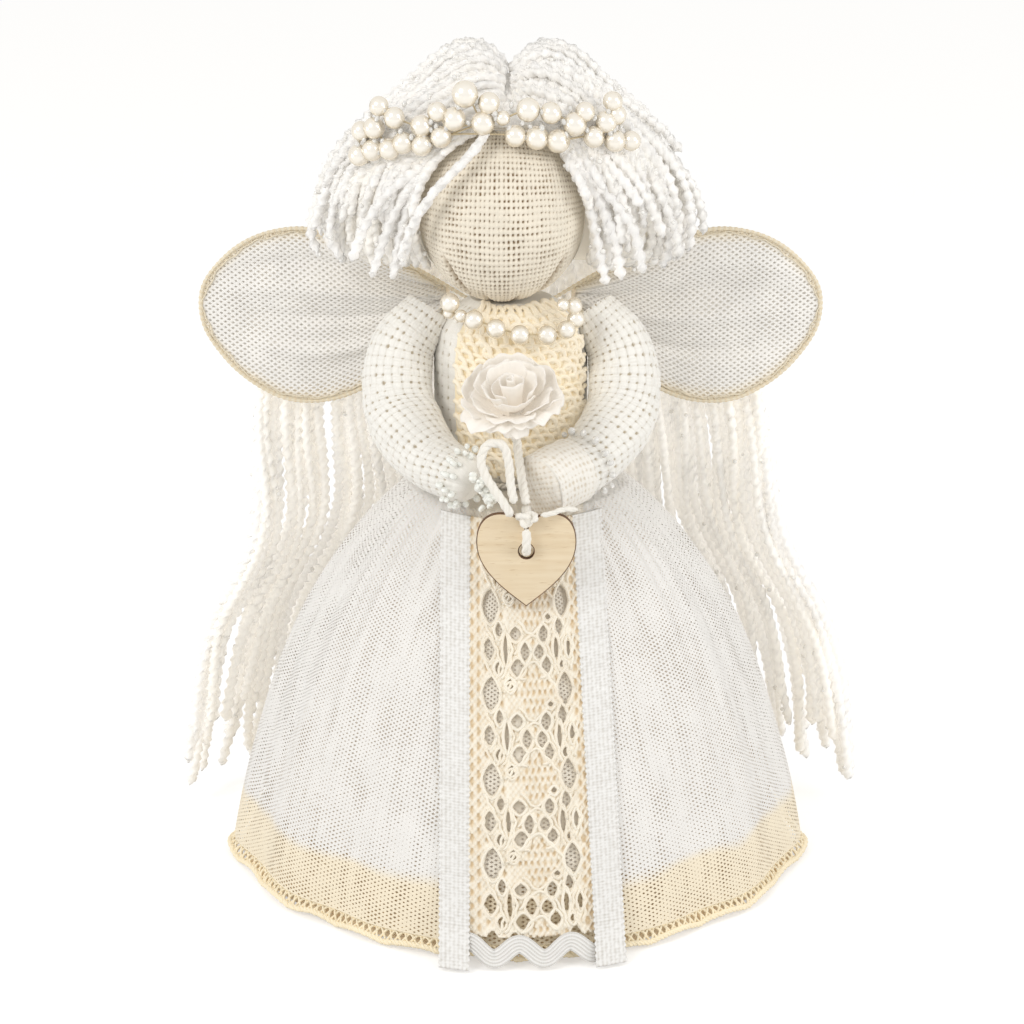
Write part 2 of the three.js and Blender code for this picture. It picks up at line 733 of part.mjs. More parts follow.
const outerCupShares = [[0.26, 0.3], [0.62, 0.33], [0.94, 0.47]];
const middleCupShares = [[0.24, 0.345], [0.56, 0.47], [0.72, 0.76]];
const innerCupShares = [[0.22, 0.39], [0.42, 0.6], [0.46, 0.92]];
const budShares = [[0.15, 0.435], [0.25, 0.64], [0.22, 0.92], [0.08, 1]];
const calyxShares = [[0.11, 0], [0.16, 0.1], [0.26, 0.27]];

const roundOnRose = (shares, sides) => loft(shares.map(([radius, height]) => (
  turnsAround(sides).map((angle) => onRose(roseRadius * radius, angle, roseHeight * height)))));

// Cords: the stem from the rose between the hands to the knot, the bow's loop, its tail, and the heart's loop
// Their heights are above the skirt's top
const overSkirt = (x, y, rise) => at(x, y, skirtHeight + rise);
const stemRoute = [
  roseFoot.clone().addScaledVector(roseTilt, -fitGap * 1.5),
  roseFoot.clone().addScaledVector(roseTilt, -cordRadius * 2),
  overSkirt(0.6, -41, 16), overSkirt(1.6, -47.5, 10.9), overSkirt(2.3, -52.4, 8.6),
];
const bowRoute = [
  overSkirt(-1.9, -54.6, 5.4), overSkirt(-4.8, -53.6, 10), overSkirt(-9, -51.6, 16),
  overSkirt(-10.6, -50.4, 21), overSkirt(-8.6, -49.6, 25.2), overSkirt(-4.6, -49.4, 25),
  overSkirt(-2.8, -49.8, 20), overSkirt(-2.2, -51.2, 14), overSkirt(-1.2, -53.8, 9),
];
const tailRoute = [
  overSkirt(6.4, -53.6, 5.4), overSkirt(9.4, -52.6, 5.6), overSkirt(13, -51.8, 6.6), overSkirt(17, -50.6, 6.2),
];
const heartCordRoute = [
  overSkirt(2.4, -54.75, 1.55), overSkirt(2.35, -55.3, -1.5), overSkirt(2.3, -54.9, -4.2),
  overSkirt(2.3, -53.2, -5.6), overSkirt(2.3, -50.6, -6), overSkirt(2.3, -48.1, -6.4),
  overSkirt(2.3, -46.5, -5.2), overSkirt(2.3, -46, -2), overSkirt(2.3, -46.1, 2),
  overSkirt(2.3, -47.6, 5.1), overSkirt(2.3, -49.4, 5.8), overSkirt(2.4, -51.2, 5.4),
];
const cordBody = (route, steps, radius, grow = 0) => toSolid(tube(route, steps, 7, radius + grow));

// Heart: an extruded outline of two round lobes with the hole near its notch, leaning back on the skirt
function heartCharm() {
  const half = heartWidth / 2;
  const topShare = 1;
  const notchShare = 0.79;
  const lobeShare = 0.52;
  const height = (share) => (share - 1) * heartHeight + heartHoleDrop;
  const outline = new THREE.Shape();
  outline.moveTo(0, height(0));
  outline.bezierCurveTo(half * 0.3, height(0.13), half, height(0.36), half, height(0.69));
  outline.bezierCurveTo(half, height(0.9), half * 0.8, height(topShare), half * lobeShare, height(topShare));
  outline.bezierCurveTo(half * 0.24, height(topShare), half * 0.05, height(0.93), 0, height(notchShare));
  outline.bezierCurveTo(
    -half * 0.05, height(0.93), -half * 0.24, height(topShare), -half * lobeShare, height(topShare));
  outline.bezierCurveTo(-half * 0.8, height(topShare), -half, height(0.9), -half, height(0.69));
  outline.bezierCurveTo(-half, height(0.36), -half * 0.3, height(0.13), 0, height(0));
  outline.holes.push(new THREE.Path().absarc(0, 0, heartHoleRadius, 0, 2 * Math.PI, true));
  const settings = { depth: heartThickness, bevelEnabled: false, curveSegments: 7 };
  return tidySkin(new THREE.ExtrudeGeometry(outline, settings)
    .translate(0, 0, -heartThickness / 2)
    .rotateX(Math.PI / 2 - radians(heartTilt))
    .translate(heartHole.x, heartHole.y, heartHole.z));
}

// Wings: one wire bent into a loop with two legs behind the body, and net stretched inside the loop
const wingWidthShare = (share) => Math.sin(Math.PI * share ** 1.3) ** 0.6;

function wingPoint(side, share, across, back = 0) {
  const middle = wingRootHeight - wingDroop * share - wingDip * Math.sin(Math.PI * share ** 0.7);
  const bow = wingBow * Math.sin(Math.PI * share);
  return at(bodyLean + side * (wingRootX + wingLength * share), wingBack - bow + back, middle + across);
}

function wingWire(side) {
  const edgeShares = [0.05, 0.16, 0.3, 0.45, 0.6, 0.75, 0.87, 0.955];
  const edge = (above) => edgeShares.map((share) => (
    wingPoint(side, share, above * wingHalfWidth * wingWidthShare(share))));
  const leg = (height) => (
    bodicePoint(Math.PI, height, fitGap + wingWireRadius).setX(bodyLean + side * wingLegX));
  const tip = wingPoint(side, 1, 0);
  const route = [leg(wingLegHigh), ...edge(1), tip, ...edge(-1).toReversed(), leg(wingLegLow)];
  return tube(route, 36, 5, wingWireRadius);
}

const wingNetFirstShare = 0.1;
const wingNetLastShare = 0.945;

function wingNet(side) {
  const inset = wingWireRadius + fitGap;
  return sheet((along, across, face) => {
    const share = mix(wingNetFirstShare, wingNetLastShare, along);
    const reach = wingHalfWidth * wingWidthShare(share) - inset * 2.2;
    const back = (face - 0.5) * wingNetThickness;
    return wingPoint(side, share, mix(-reach, reach, across), side > 0 ? back : -back);
  }, 7, 4, () => 0.7);
}

// Hair: a lobe of yarn on each side of the parting, forelocks beside the face, and long locks down the back
function forelockRoute(side) {
  const onHead = (acrossShare, heightShare, outset) => {
    const reach = forelockRadius + fitGap + outset;
    const depthShare = Math.sqrt(Math.max(1 - acrossShare ** 2 - heightShare ** 2, 0.02));
    return headCentre.clone().add(at(
      acrossShare * side * (headHalf.x + reach),
      -depthShare * (headHalf.y + reach),
      heightShare * (headHalf.z + reach)));
  };
  return side < 0
    ? [onHead(0.3, 0.74, 0), onHead(0.62, 0.52, 0), onHead(0.9, 0.06, 0), onHead(0.98, -0.5, forelockLoose)]
    : [onHead(0.66, 0.62, 0), onHead(0.88, 0.3, 0), onHead(0.98, -0.06, 0), onHead(0.98, -0.5, forelockLoose)];
}

const forelockWidthShares = [[0, 0.7], [0.3, 1], [0.8, 0.9], [1, 0.5]];
const forelock = (side, grow) => toSolid(sweep(forelockRoute(side), 7, 6, (t) => {
  const radius = forelockRadius * readTable(forelockWidthShares, t) + grow;
  return [radius, radius];
}));

function longLock(spread, grow) {
  const turn = Math.PI - radians(longLockTurn) * spread;
  const off = longLockHalfThickness + fitGap * 2 + longLockFlare * Math.abs(spread);
  const behindWing = wingBack + longLockBehindWing;
  const onSkirt = (height) => {
    const point = skirtPoint(turn, height, -off);
    return at(point.x, point.y, height);
  };
  const route = [
    at(partingX + spread * longLockTopSpan, lobeBack + lobeHalf.y * 0.78, longLockTop),
    at(partingX + spread * longLockShoulderSpan, behindWing, mix(shoulderHeight, longLockTop, 0.1)),
    at(partingX + spread * longLockWaistSpan, behindWing, longLockWaistHeight),
    onSkirt(skirtHeight * 0.78), onSkirt(skirtHeight * 0.5), onSkirt(longLockFoot),
  ];
  const widthShares = [[0, 0], [0.25, 0.35], [0.6, 0.9], [0.9, 1], [1, 0.6]];
  return toSolid(sweep(route, 8, 6, (t) => {
    const half = mix(longLockTopHalfWidth, longLockHalfWidth, readTable(widthShares, t));
    const thick = mix(longLockTopHalfWidth, longLockHalfThickness, Math.min(t * 2, 1));
    return [half + grow, thick + grow];
  }, (point) => at(point.x, point.y, 0).normalize()));
}

const longLockSpreads = [0.14, 0.42, 0.7, 0.98];

function hairLobe(side, tools) {
  const centre = at(partingX + side * lobeOffset, lobeBack, lobeHeight);
  const mass = toSolid(ellipsoid(centre, lobeHalf, 12, lobeRidges * 3, (angle) => (
    lobeRidge * (Math.cos(2 * lobeRidges * angle) - 1) * Math.sin(angle))));
  const far = lobeHalf.x * 2 + lobeOffset;
  const edge = partingX + side * fitGap / 2;
  const keep = block(
    at(side > 0 ? edge : edge - far, -far, lobeFoot),
    at(side > 0 ? edge + far : edge, far, lobeFoot + far));
  return mainBody(carve(mass.intersect(keep), ...tools));
}

// Finishes
const finish = (color, roughness, metalness = 0) => (
  new THREE.MeshStandardMaterial({ color, roughness, metalness }));
const whiteCotton = finish(0xf6f3ea, 0.9);
const creamLace = finish(0xf1e2c0, 0.92);
const linen = finish(0xe6d8bb, 0.95);
const yarn = finish(0xfaf9f5, 0.6);
const pearlWhite = finish(0xf4efe6, 0.2);
const silk = finish(0xf8f5f0, 0.55);
const birch = finish(0xe6cda2, 0.7);
const foam = finish(0xf7f7f5, 0.95);
const card = finish(0xd9cbb0, 0.9);
const wire = finish(0xc9c4ba, 0.35, 0.9);
const netWhite = finish(0xf3efe4, 0.85);

const angel = new THREE.Group();

function addPart(name, body, material) {
  const geometry = body.isBufferGeometry ? body : toSkin(body);
  geometry.computeVertexNormals();
  const mesh = new THREE.Mesh(geometry, material);
  mesh.name = name;
  angel.add(mesh);
}

const sideName = (side) => (side < 0 ? 'left' : 'right');

function addSkirt() {
  const disc = new THREE.CylinderGeometry(baseDiscRadius, baseDiscRadius, baseDiscThickness, 36);
  addPart('base_disc', tidySkin(disc.rotateX(Math.PI / 2).translate(0, 0, baseDiscThickness / 2)), card);
  addPart('skirt_cone', skirtCone(), foam);
  addPart('body_dowel', dowelBody(0), birch);
  addPart('underskirt_band', skirtLayer(bandFoot, liningHem - fitGap), creamLace);
  addPart('skirt_lining', skirtLayer(liningHem, coneTop), whiteCotton);
  addPart('overskirt_net', netOverskirt(), netWhite);
  addPart('hem_lace', hemLace(), creamLace);
  addPart('waist_cord', waistCord(), whiteCotton);
  addPart('lace_panel', lacePanel(), creamLace);
  addPart('ribbon_left', ribbon(-1), whiteCotton);
  addPart('ribbon_right', ribbon(1), whiteCotton);
  addPart('rickrack_trim', rickrack(), whiteCotton);
}

function addBody() {
  const grownBodice = bodiceBody(fitGap);
  const wireBore = armWire(fitGap);
  const cuff = cuffBody();
  const stemGrown = cordBody(stemRoute, 12, cordRadius, fitGap);
  addPart('bodice', carve(bodiceBody(0), dowelBody(fitGap), wireBore, headBody(-fitGap, 18, 12)), whiteCotton);
  addPart('bodice_lace', yoke(), creamLace);
  addPart('arm_wire', armWire(0), wire);
  for (const side of [-1, 1]) {
    const near = side < 0 ? [stemGrown, cuffReserve()] : [stemGrown];
    addPart(`arm_${sideName(side)}`, carve(armBody(side, 0), grownBodice, wireBore, ...near), whiteCotton);
  }
  addPart('cuff_right', cuff, creamLace);
  addPart('bracelet_left', bracelet(-1, 0.9), pearlWhite);
  addPart('bracelet_right', bracelet(1, 0.77), pearlWhite);
  addPart('head_ball', headBall(), foam);
  addPart('head_linen', headLinen(), linen);
  addPart('necklace', necklace(), pearlWhite);
}

// The space of the cuff and a gap round it, which the other hand keeps out of
function cuffReserve() {
  const route = armRoute(1);
  const radius = armRadius * readTable(armWidthShares, 0.84) + cuffThickness + fitGap * 2;
  const end = route.getPointAt(1).addScaledVector(route.getTangentAt(1), cuffReach + fitGap);
  return toSolid(sweep([route.getPointAt(0.82), route.getPointAt(0.92), end], 5, 16, () => [radius, radius]));
}

function addHeadwear() {
  const tools = [headBody(-fitGap, 18, 12), crownBand(fitGap), ...crownChannel()];
  for (const side of [-1, 1]) {
    addPart(`forelock_${sideName(side)}`, forelock(side, 0), yarn);
    tools.push(forelock(side, fitGap));
    longLockSpreads.forEach((spread, i) => {
      addPart(`hair_long_${sideName(side)}_${i + 1}`, longLock(side * spread, 0), yarn);
      tools.push(longLock(side * spread, fitGap));
    });
  }
  for (const side of [-1, 1]) addPart(`hair_lobe_${sideName(side)}`, hairLobe(side, tools), yarn);
  addPart('crown_band', crownBand(0), wire);
  addPart('crown_pearls_low', crownLowPearls(), pearlWhite);
  addPart('crown_pearls_high', crownHighPearls(), pearlWhite);
}

function addRoseAndHeart() {
  addPart('rose_calyx', roundOnRose(calyxShares, 10), silk);
  addPart('rose_petals_outer', petalCup(outerCupShares, 6, 0), silk);
  addPart('rose_petals_middle', petalCup(middleCupShares, 5, 0.6), silk);
  addPart('rose_petals_inner', petalCup(innerCupShares, 4, 0.2), silk);
  addPart('rose_bud', roundOnRose(budShares, 10), silk);
  addPart('rose_stem', cordBody(stemRoute, 12, cordRadius), whiteCotton);
  addPart('cord_knot', tidySkin(ellipsoid(knot, knotHalf, 12, 8)), whiteCotton);
  addPart('bow_loop', cordBody(bowRoute, 20, cordRadius), whiteCotton);
  addPart('cord_tail', cordBody(tailRoute, 8, tailRadius), whiteCotton);
  addPart('heart_cord', cordBody(heartCordRoute, 18, cordRadius), whiteCotton);
  addPart('heart_charm', heartCharm(), birch);
}

function addWings() {
  for (const side of [-1, 1]) {
    addPart(`wing_wire_${sideName(side)}`, wingWire(side), wire);
    addPart(`wing_net_${sideName(side)}`, wingNet(side), netWhite);
  }
}

addSkirt();
addBody();
addHeadwear();
addRoseAndHeart();
addWings();

export default angel;
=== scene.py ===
"""Looks of the angel doll: its cloth, net, lace, yarn, beads, rose and cords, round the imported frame.

Shapes are worked out in millimetres, +Z up, with the doll facing -Y, and become metres as each piece is made.
"""
import itertools
import math

import bpy
import numpy as np
from mathutils import Matrix, Vector


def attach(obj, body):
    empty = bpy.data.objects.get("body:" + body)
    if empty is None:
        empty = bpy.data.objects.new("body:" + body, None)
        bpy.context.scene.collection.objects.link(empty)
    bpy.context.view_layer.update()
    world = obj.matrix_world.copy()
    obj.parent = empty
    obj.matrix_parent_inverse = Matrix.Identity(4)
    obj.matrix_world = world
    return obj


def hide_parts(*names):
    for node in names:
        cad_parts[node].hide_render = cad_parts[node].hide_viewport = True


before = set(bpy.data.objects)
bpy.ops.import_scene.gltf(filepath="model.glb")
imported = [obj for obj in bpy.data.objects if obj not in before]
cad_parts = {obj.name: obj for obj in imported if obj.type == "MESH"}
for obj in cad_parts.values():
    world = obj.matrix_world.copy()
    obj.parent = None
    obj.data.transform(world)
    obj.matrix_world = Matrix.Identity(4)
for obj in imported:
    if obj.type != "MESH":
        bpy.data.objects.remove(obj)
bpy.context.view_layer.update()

MM = 0.001

# Camera, in metres
CAMERA_PLACE = (-0.0018, -1.0519, 0.4286)
CAMERA_TARGET = (-0.0018, 0.0, 0.107)
CAMERA_LENS = 128.9

# Cord routes, as in the frame's source
ROSE_FOOT = np.array((-0.6, -36.0, 141.0))
ROSE_AXIS = np.array((-0.1, -0.34, 0.93)) / math.sqrt(0.1 ** 2 + 0.34 ** 2 + 0.93 ** 2)
STEM_ROUTE = (ROSE_FOOT - 0.45 * ROSE_AXIS, ROSE_FOOT - 2.8 * ROSE_AXIS,
              (0.6, -41, 133), (1.6, -47.5, 127.9), (2.3, -52.4, 125.6))
BOW_ROUTE = ((-1.9, -54.6, 122.4), (-4.8, -53.6, 127), (-9, -51.6, 133), (-10.6, -50.4, 138),
             (-8.6, -49.6, 142.2), (-4.6, -49.4, 142), (-2.8, -49.8, 137), (-2.2, -51.2, 131),
             (-1.2, -53.8, 126))
TAIL_ROUTE = ((6.4, -53.6, 122.4), (9.4, -52.6, 122.6), (13, -51.8, 123.6), (17, -50.6, 123.2))
HEART_CORD_ROUTE = ((2.4, -54.75, 118.55), (2.35, -55.3, 115.5), (2.3, -54.9, 112.8), (2.3, -53.2, 111.4),
                    (2.3, -50.6, 111), (2.3, -48.1, 110.6), (2.3, -46.5, 111.8), (2.3, -46, 115),
                    (2.3, -46.1, 119), (2.3, -47.6, 122.1), (2.3, -49.4, 122.8), (2.4, -51.2, 122.4))
CORD_RADIUS = 1.4
TAIL_RADIUS = 0.85
KNOT_CORD_RADIUS = 0.95
KNOT = np.array((2.4, -54.0, 121.4))
KNOT_HALF = np.array((3.4, 2.6, 2.6))
FORWARD = (0.1, -1, 0.2)  # nearly towards the viewer, and along none of the threads

# Skirt
HEM_HALF_WIDTH = 88.0
HEM_REACH = 90.0
SKIRT_HEIGHT = 117.0
SKIRT_TOP_HALF_WIDTH = 33.5
SKIRT_BULGE = 1.5
FRONT_ROUNDNESS = 1.75
NET_HEM = 5.0
FOLD_DEPTH = 3.0
FOLD_COUNT = 13
LINING_INSET = 2.6
LINING_HEM = 20.0
CONE_TOP = 116.0

# Front panel
PANEL_TOP = 115.5
PANEL_FOOT = 8.5
PANEL_LEFT = -14.2
PANEL_RIGHT_AT_TOP = 16.0
PANEL_RIGHT_AT_FOOT = 22.0
PANEL_CURL = 4.5  # how far the panel curls forward at the table
RIBBON_WIDTH = 8.6
RIBBON_CURL = 9.5

# Body, head and arms
BODY_LEAN = -2.2
BODICE_FOOT = 116.3
BODICE_TOP = 174.0
BODICE_HALF_WIDTH = 23
BODICE_HALF_DEPTH = 19
HEAD_CENTRE = np.array((-4.8, -4.0, 199.0))
HEAD_HALF = np.array((24.2, 24.5, 25.5))
HEAD_RADIUS = 24.6  # mean, for laying the linen out flat
ARM_RADIUS = 10.6
ARM_WIDTH_SHARES = ((0, 0.66), (0.14, 0.86), (0.32, 1), (0.55, 1), (0.78, 0.82), (0.94, 0.7), (1, 0.42))
BODICE_SHARES = ((0, 0.84), (0.2, 0.92), (0.45, 1), (0.7, 1), (0.84, 0.94), (0.93, 0.78), (1, 0.5))

# Hair
PARTING_X = -3.0
LOBE_HALF = np.array((33.0, 27.0, 37.0))
LOBE_OFFSET = 21.5
LOBE_BACK = 8.0
LOBE_HEIGHT = 212.0
LOBE_FOOT = 182.0

# Wings
WING_ROOT_X = 16.8
WING_LENGTH = 77.5
WING_HALF_WIDTH = 26.8


# Number helpers
def mix(low, high, share):
    return low + (high - low) * share


def unit(v):
    return v / np.maximum(np.linalg.norm(v, axis=-1, keepdims=True), 1e-12)


def smoothstep(value, low, high):
    share = np.clip((value - low) / (high - low), 0, 1)
    return share * share * (3 - 2 * share)


def read_table(table, place):
    return np.interp(place, [row[0] for row in table], [row[1] for row in table])


def xyz(x, y, z):
    return np.stack(np.broadcast_arrays(np.asarray(x, float), y, z), axis=-1)


def uneven(u, v, size, seed):
    """A smooth value from -1 to 1 that wanders over a surface, with lumps of a size in millimetres."""
    lattice = np.random.default_rng(seed).uniform(-1, 1, (64, 64))
    x, y = u / size, v / size
    i, j = np.floor(x).astype(int), np.floor(y).astype(int)
    s, t = x - i, y - j
    s, t = s * s * (3 - 2 * s), t * t * (3 - 2 * t)
    low = mix(lattice[i % 64, j % 64], lattice[(i + 1) % 64, j % 64], s)
    high = mix(lattice[i % 64, (j + 1) % 64], lattice[(i + 1) % 64, (j + 1) % 64], s)
    return mix(low, high, t)


def even_turns(count):
    return np.arange(count) / count * 2 * math.pi


def turned(first, second, turn):
    """The direction at an angle from the first of two directions towards the second."""
    return first * np.cos(turn)[..., None] + second * np.sin(turn)[..., None]


# Lines and tubes
def lengths_along(line):
    return np.concatenate([[0], np.cumsum(np.linalg.norm(np.diff(line, axis=0), axis=1))])


def read_along(values, along, places):
    return np.stack([np.interp(places, along, values[:, k]) for k in range(3)], axis=1)


def respaced(line, spacing=None, places=None):
    """A line with points a distance apart, or at given lengths along it."""
    along = lengths_along(line)
    if places is None:
        places = np.linspace(0, along[-1], max(2, round(along[-1] / spacing) + 1))
    return read_along(line, along, places)


def length_of(line):
    return float(np.linalg.norm(np.diff(line, axis=0), axis=1).sum())


def curve_through(points, spacing):
    """The smooth curve through points that the frame's source sweeps its tubes along."""
    p = np.array(points, float)
    p = np.concatenate([[2 * p[0] - p[1]], p, [2 * p[-1] - p[-2]]])
    t = np.linspace(0, 1, 24, endpoint=False)[:, None]
    dense = []
    for a, b, c, d in zip(p, p[1:], p[2:], p[3:]):
        d0, d1, d2 = (math.sqrt(max(np.linalg.norm(y - x), 1e-6)) for x, y in ((a, b), (b, c), (c, d)))
        leave = ((b - a) / d0 - (c - a) / (d0 + d1) + (c - b) / d1) * d1
        reach = ((c - b) / d1 - (d - b) / (d1 + d2) + (d - c) / d2) * d1
        bend, twist = 3 * (c - b) - 2 * leave - reach, 2 * (b - c) + leave + reach
        dense.append(b + leave * t + bend * t ** 2 + twist * t ** 3)
    dense.append(p[-2:-1])
    return respaced(np.concatenate(dense), spacing)


def square_to(along, away):
    """Two directions square to each of a line's directions, the first turned towards away."""
    away = np.broadcast_to(np.asarray(away, float), along.shape)
    first = unit(away - (away * along).sum(-1, keepdims=True) * along)
    return first, np.cross(along, first)


def directions_of(line):
    return unit(np.gradient(line, axis=0))


def rings_along(line, radius, away, sides, flat=1.0):
    """Rings of points round a line. The first point of each faces away, and flat squeezes the other way."""
    first, second = square_to(directions_of(line), away)
    turn = even_turns(sides)
    radius = np.broadcast_to(radius, len(line))[:, None, None]
    flat = np.broadcast_to(flat, len(line))[:, None, None]
    around = first[:, None] * np.cos(turn)[:, None] * flat + second[:, None] * np.sin(turn)[:, None]
    return line[:, None] + radius * around


def grid_faces(rows, columns):
    row, column = np.meshgrid(np.arange(rows - 1), np.arange(columns - 1), indexing="ij")
    corner = (row * columns + column).reshape(-1, 1)
    return corner + np.array((0, 1, columns + 1, columns))


class Cloth:
    """Surfaces worked out in millimetres, gathered into one piece."""

    def __init__(self):
        self.points, self.shades, self.loops, self.sizes, self.uvs = [], [], [], [], []
        self.count = 0

    def add_faces(self, faces, start, uv=None):
        """Faces over points that are there already, numbered from start. uv has one pair for each corner."""
        self.loops.append((faces + start).ravel())
        self.sizes.append(np.full(len(faces), faces.shape[1]))
        self.uvs.append(np.zeros((faces.size, 2)) if uv is None else uv.reshape(-1, 2))

    def add(self, points, faces, uv=None, shade=0.0):
        points = points.reshape(-1, 3)
        self.points.append(points)
        self.shades.append(np.broadcast_to(np.asarray(shade, float).ravel(), len(points)))
        self.add_faces(faces, self.count, uv)
        self.count += len(points)

    def add_grid(self, points, looped=False, uv=None, shade=0.0, keep=None):
        """A surface over a grid of points. A looped one closes round, and its uv has a column more."""
        rows, columns = points.shape[:2]
        wide = columns + 1 if looped else columns
        faces = grid_faces(rows, wide)
        keep = np.ones(len(faces), bool) if keep is None else keep.ravel()
        corner_uv = None if uv is None else uv.reshape(-1, 2)[faces][keep]
        faces = faces // wide * columns + faces % wide % columns
        self.add(points, faces[keep], corner_uv, shade)

    def add_tube(self, rings, caps=True, shade=0.0, length=1.0):
        """A tube through rings. Its uv runs once round it, and along it to its length."""
        rows, sides = rings.shape[:2]
        uv = np.stack(np.meshgrid(np.arange(sides + 1) / sides, np.linspace(0, length, rows)), axis=-1)
        self.add_grid(rings, True, uv, shade)
        if caps:
            ring = np.arange(sides)
            self.add_faces(np.stack([ring[::-1], ring + (rows - 1) * sides]), self.count - rows * sides)

    def piece(self, name, material, replaces=(), slot=None, body="doll"):
        points = np.concatenate(self.points) * MM
        loops = np.concatenate(self.loops)
        sizes = np.concatenate(self.sizes)
        used, loops = np.unique(loops, return_inverse=True)
        mesh = bpy.data.meshes.new(name)
        mesh.vertices.add(len(used))
        mesh.loops.add(len(loops))
        mesh.polygons.add(len(sizes))
        mesh.vertices.foreach_set("co", points[used].astype(np.float32).ravel())
        mesh.loops.foreach_set("vertex_index", loops.astype(np.int32).ravel())
        mesh.polygons.foreach_set("loop_start", (np.cumsum(sizes) - sizes).astype(np.int32))
        mesh.update(calc_edges=True)
        mesh.shade_smooth()
        uv = np.concatenate(self.uvs).astype(np.float32)
        mesh.uv_layers.new(name="cloth").data.foreach_set("uv", uv.ravel())
        shade = mesh.attributes.new("shade", "FLOAT", "POINT")
        shade.data.foreach_set("value", np.concatenate(self.shades)[used].astype(np.float32))
        mesh.materials.append(material)
        return settle(new_object(name, mesh), replaces, body)


def new_object(name, data):
    obj = bpy.data.objects.new(name, data)
    bpy.context.scene.collection.objects.link(obj)
    return obj


def settle(obj, replaces=(), body="doll"):
    """Hangs a finished piece on what it rides on, and hides the nodes that it stands for."""
    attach(obj, body)
    if replaces:
        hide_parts(*replaces)
    return obj


def select_only(*objects):
    bpy.ops.object.select_all(action="DESELECT")
    for obj in objects:
        obj.select_set(True)
    bpy.context.view_layer.objects.active = objects[0]


def thicken(obj, thickness):
    """Gives a sheet its thickness, half to each side."""
    modifier = obj.modifiers.new("thickness", "SOLIDIFY")
    modifier.thickness = thickness * MM
    modifier.offset = 0.0
    select_only(obj)
    bpy.ops.object.modifier_apply(modifier=modifier.name)
    obj.select_set(False)


# Finishes
class Finish:
    """A material with its shader's own sockets set, and short ways to add nodes before it."""

    def __init__(self, name, **sockets):
        self.material = bpy.data.materials.new(name)
        self.material.use_nodes = True
        self.nodes = self.material.node_tree.nodes
        self.links = self.material.node_tree.links
        self.shader = self.nodes["Principled BSDF"]
        for key, value in sockets.items():
            self.shader.inputs[key.replace("_", " ")].default_value = value

    def node(self, kind, inputs=(), **settings):
        node = self.nodes.new(kind)
        for key, value in settings.items():
            setattr(node, key, value)
        for key, value in dict(inputs).items():
            if isinstance(value, bpy.types.NodeSocket):
                self.links.new(value, node.inputs[key])
            else:
                node.inputs[key].default_value = value
        return node

    def place(self):
        return self.node("ShaderNodeTexCoord").outputs["Object"]

    def uv(self):
        return self.node("ShaderNodeUVMap", uv_map="cloth").outputs["UV"]

    def shade(self):
        return self.node("ShaderNodeAttribute", attribute_name="shade").outputs["Fac"]

    def stretched(self, vector, scale):
        """Coordinates drawn out for a pattern that runs one way."""
        return self.node("ShaderNodeMapping", {"Vector": vector, "Scale": scale}).outputs["Vector"]

    def noise(self, scale, detail=2.0, vector=None):
        return self.node("ShaderNodeTexNoise", {"Scale": scale, "Detail": detail,
                                                "Vector": vector or self.place()}).outputs["Fac"]

    def ramp(self, value, low, high):
        ranged = self.node("ShaderNodeMapRange", {"Value": value, "From Min": low, "From Max": high})
        return ranged.outputs["Result"]

    def blend(self, share, first, second):
        node = self.nodes.new("ShaderNodeMix")
        node.data_type = "RGBA"
        for place, value in ((0, share), (6, first), (7, second)):
            if isinstance(value, bpy.types.NodeSocket):
                self.links.new(value, node.inputs[place])
            else:
                node.inputs[place].default_value = value if place == 0 else (*value, 1.0)[:4]
        return node.outputs[2]

    def tones(self, pattern, low, high, first, second):
        """Two colours shared out by a pattern, which is all first under low and all second over high."""
        return self.blend(self.ramp(pattern, low, high), first, second)

    def colour(self, socket):
        self.links.new(socket, self.shader.inputs["Base Color"])

    def bump(self, height, distance, strength=1.0):
        node = self.node("ShaderNodeBump", {"Height": height, "Distance": distance, "Strength": strength})
        if self.shader.inputs["Normal"].links:
            self.links.new(self.shader.inputs["Normal"].links[0].from_socket, node.inputs["Normal"])
        self.links.new(node.outputs["Normal"], self.shader.inputs["Normal"])


def cloth_finish(name, thread, gap, fibre=2600.0, lift=0.00006, mottle=0.06, **sockets):
    """Mottled cotton with a fibrous bump. The piece's shade attribute takes it to the gap colour, mostly
    painted shade.
    """
    finish = Finish(name, **{"Roughness": 0.85, "Sheen_Weight": 0.15, "Sheen_Roughness": 0.6, **sockets})
    wear_and_painted_rib_shade = finish.tones(finish.noise(130.0, 3.0), 0.3, 0.7, thread, tuple(c * (1 - mottle) for c in thread))
    fibres = finish.noise(fibre, 3.0)
    spun = finish.tones(fibres, 0.35, 0.8, wear_and_painted_rib_shade, tuple(min(c * 1.03, 1) for c in thread))
    finish.colour(finish.blend(finish.shade(), spun, gap))
    finish.bump(fibres, lift)
    return finish.material


def glow(strength, colour):
    """Sockets for a faint glow, which stands for the light that passes through thin cloth."""
    return {"Emission_Color": (*colour, 1), "Emission_Strength": strength}


cord_cotton = cloth_finish("cord_cotton", (0.94, 0.905, 0.83), (0.8, 0.72, 0.6), 3400.0, 0.00012)


# Camera and cords
def aim(obj, place, target):
    obj.location = place
    obj.rotation_euler = (Vector(target) - Vector(place)).to_track_quat("-Z", "Y").to_euler()


def add_camera():
    data = bpy.data.cameras.new("camera")
    data.sensor_width = 36.0
    data.lens = CAMERA_LENS
    camera = new_object("camera", data)
    aim(camera, CAMERA_PLACE, CAMERA_TARGET)
    bpy.context.scene.camera = camera


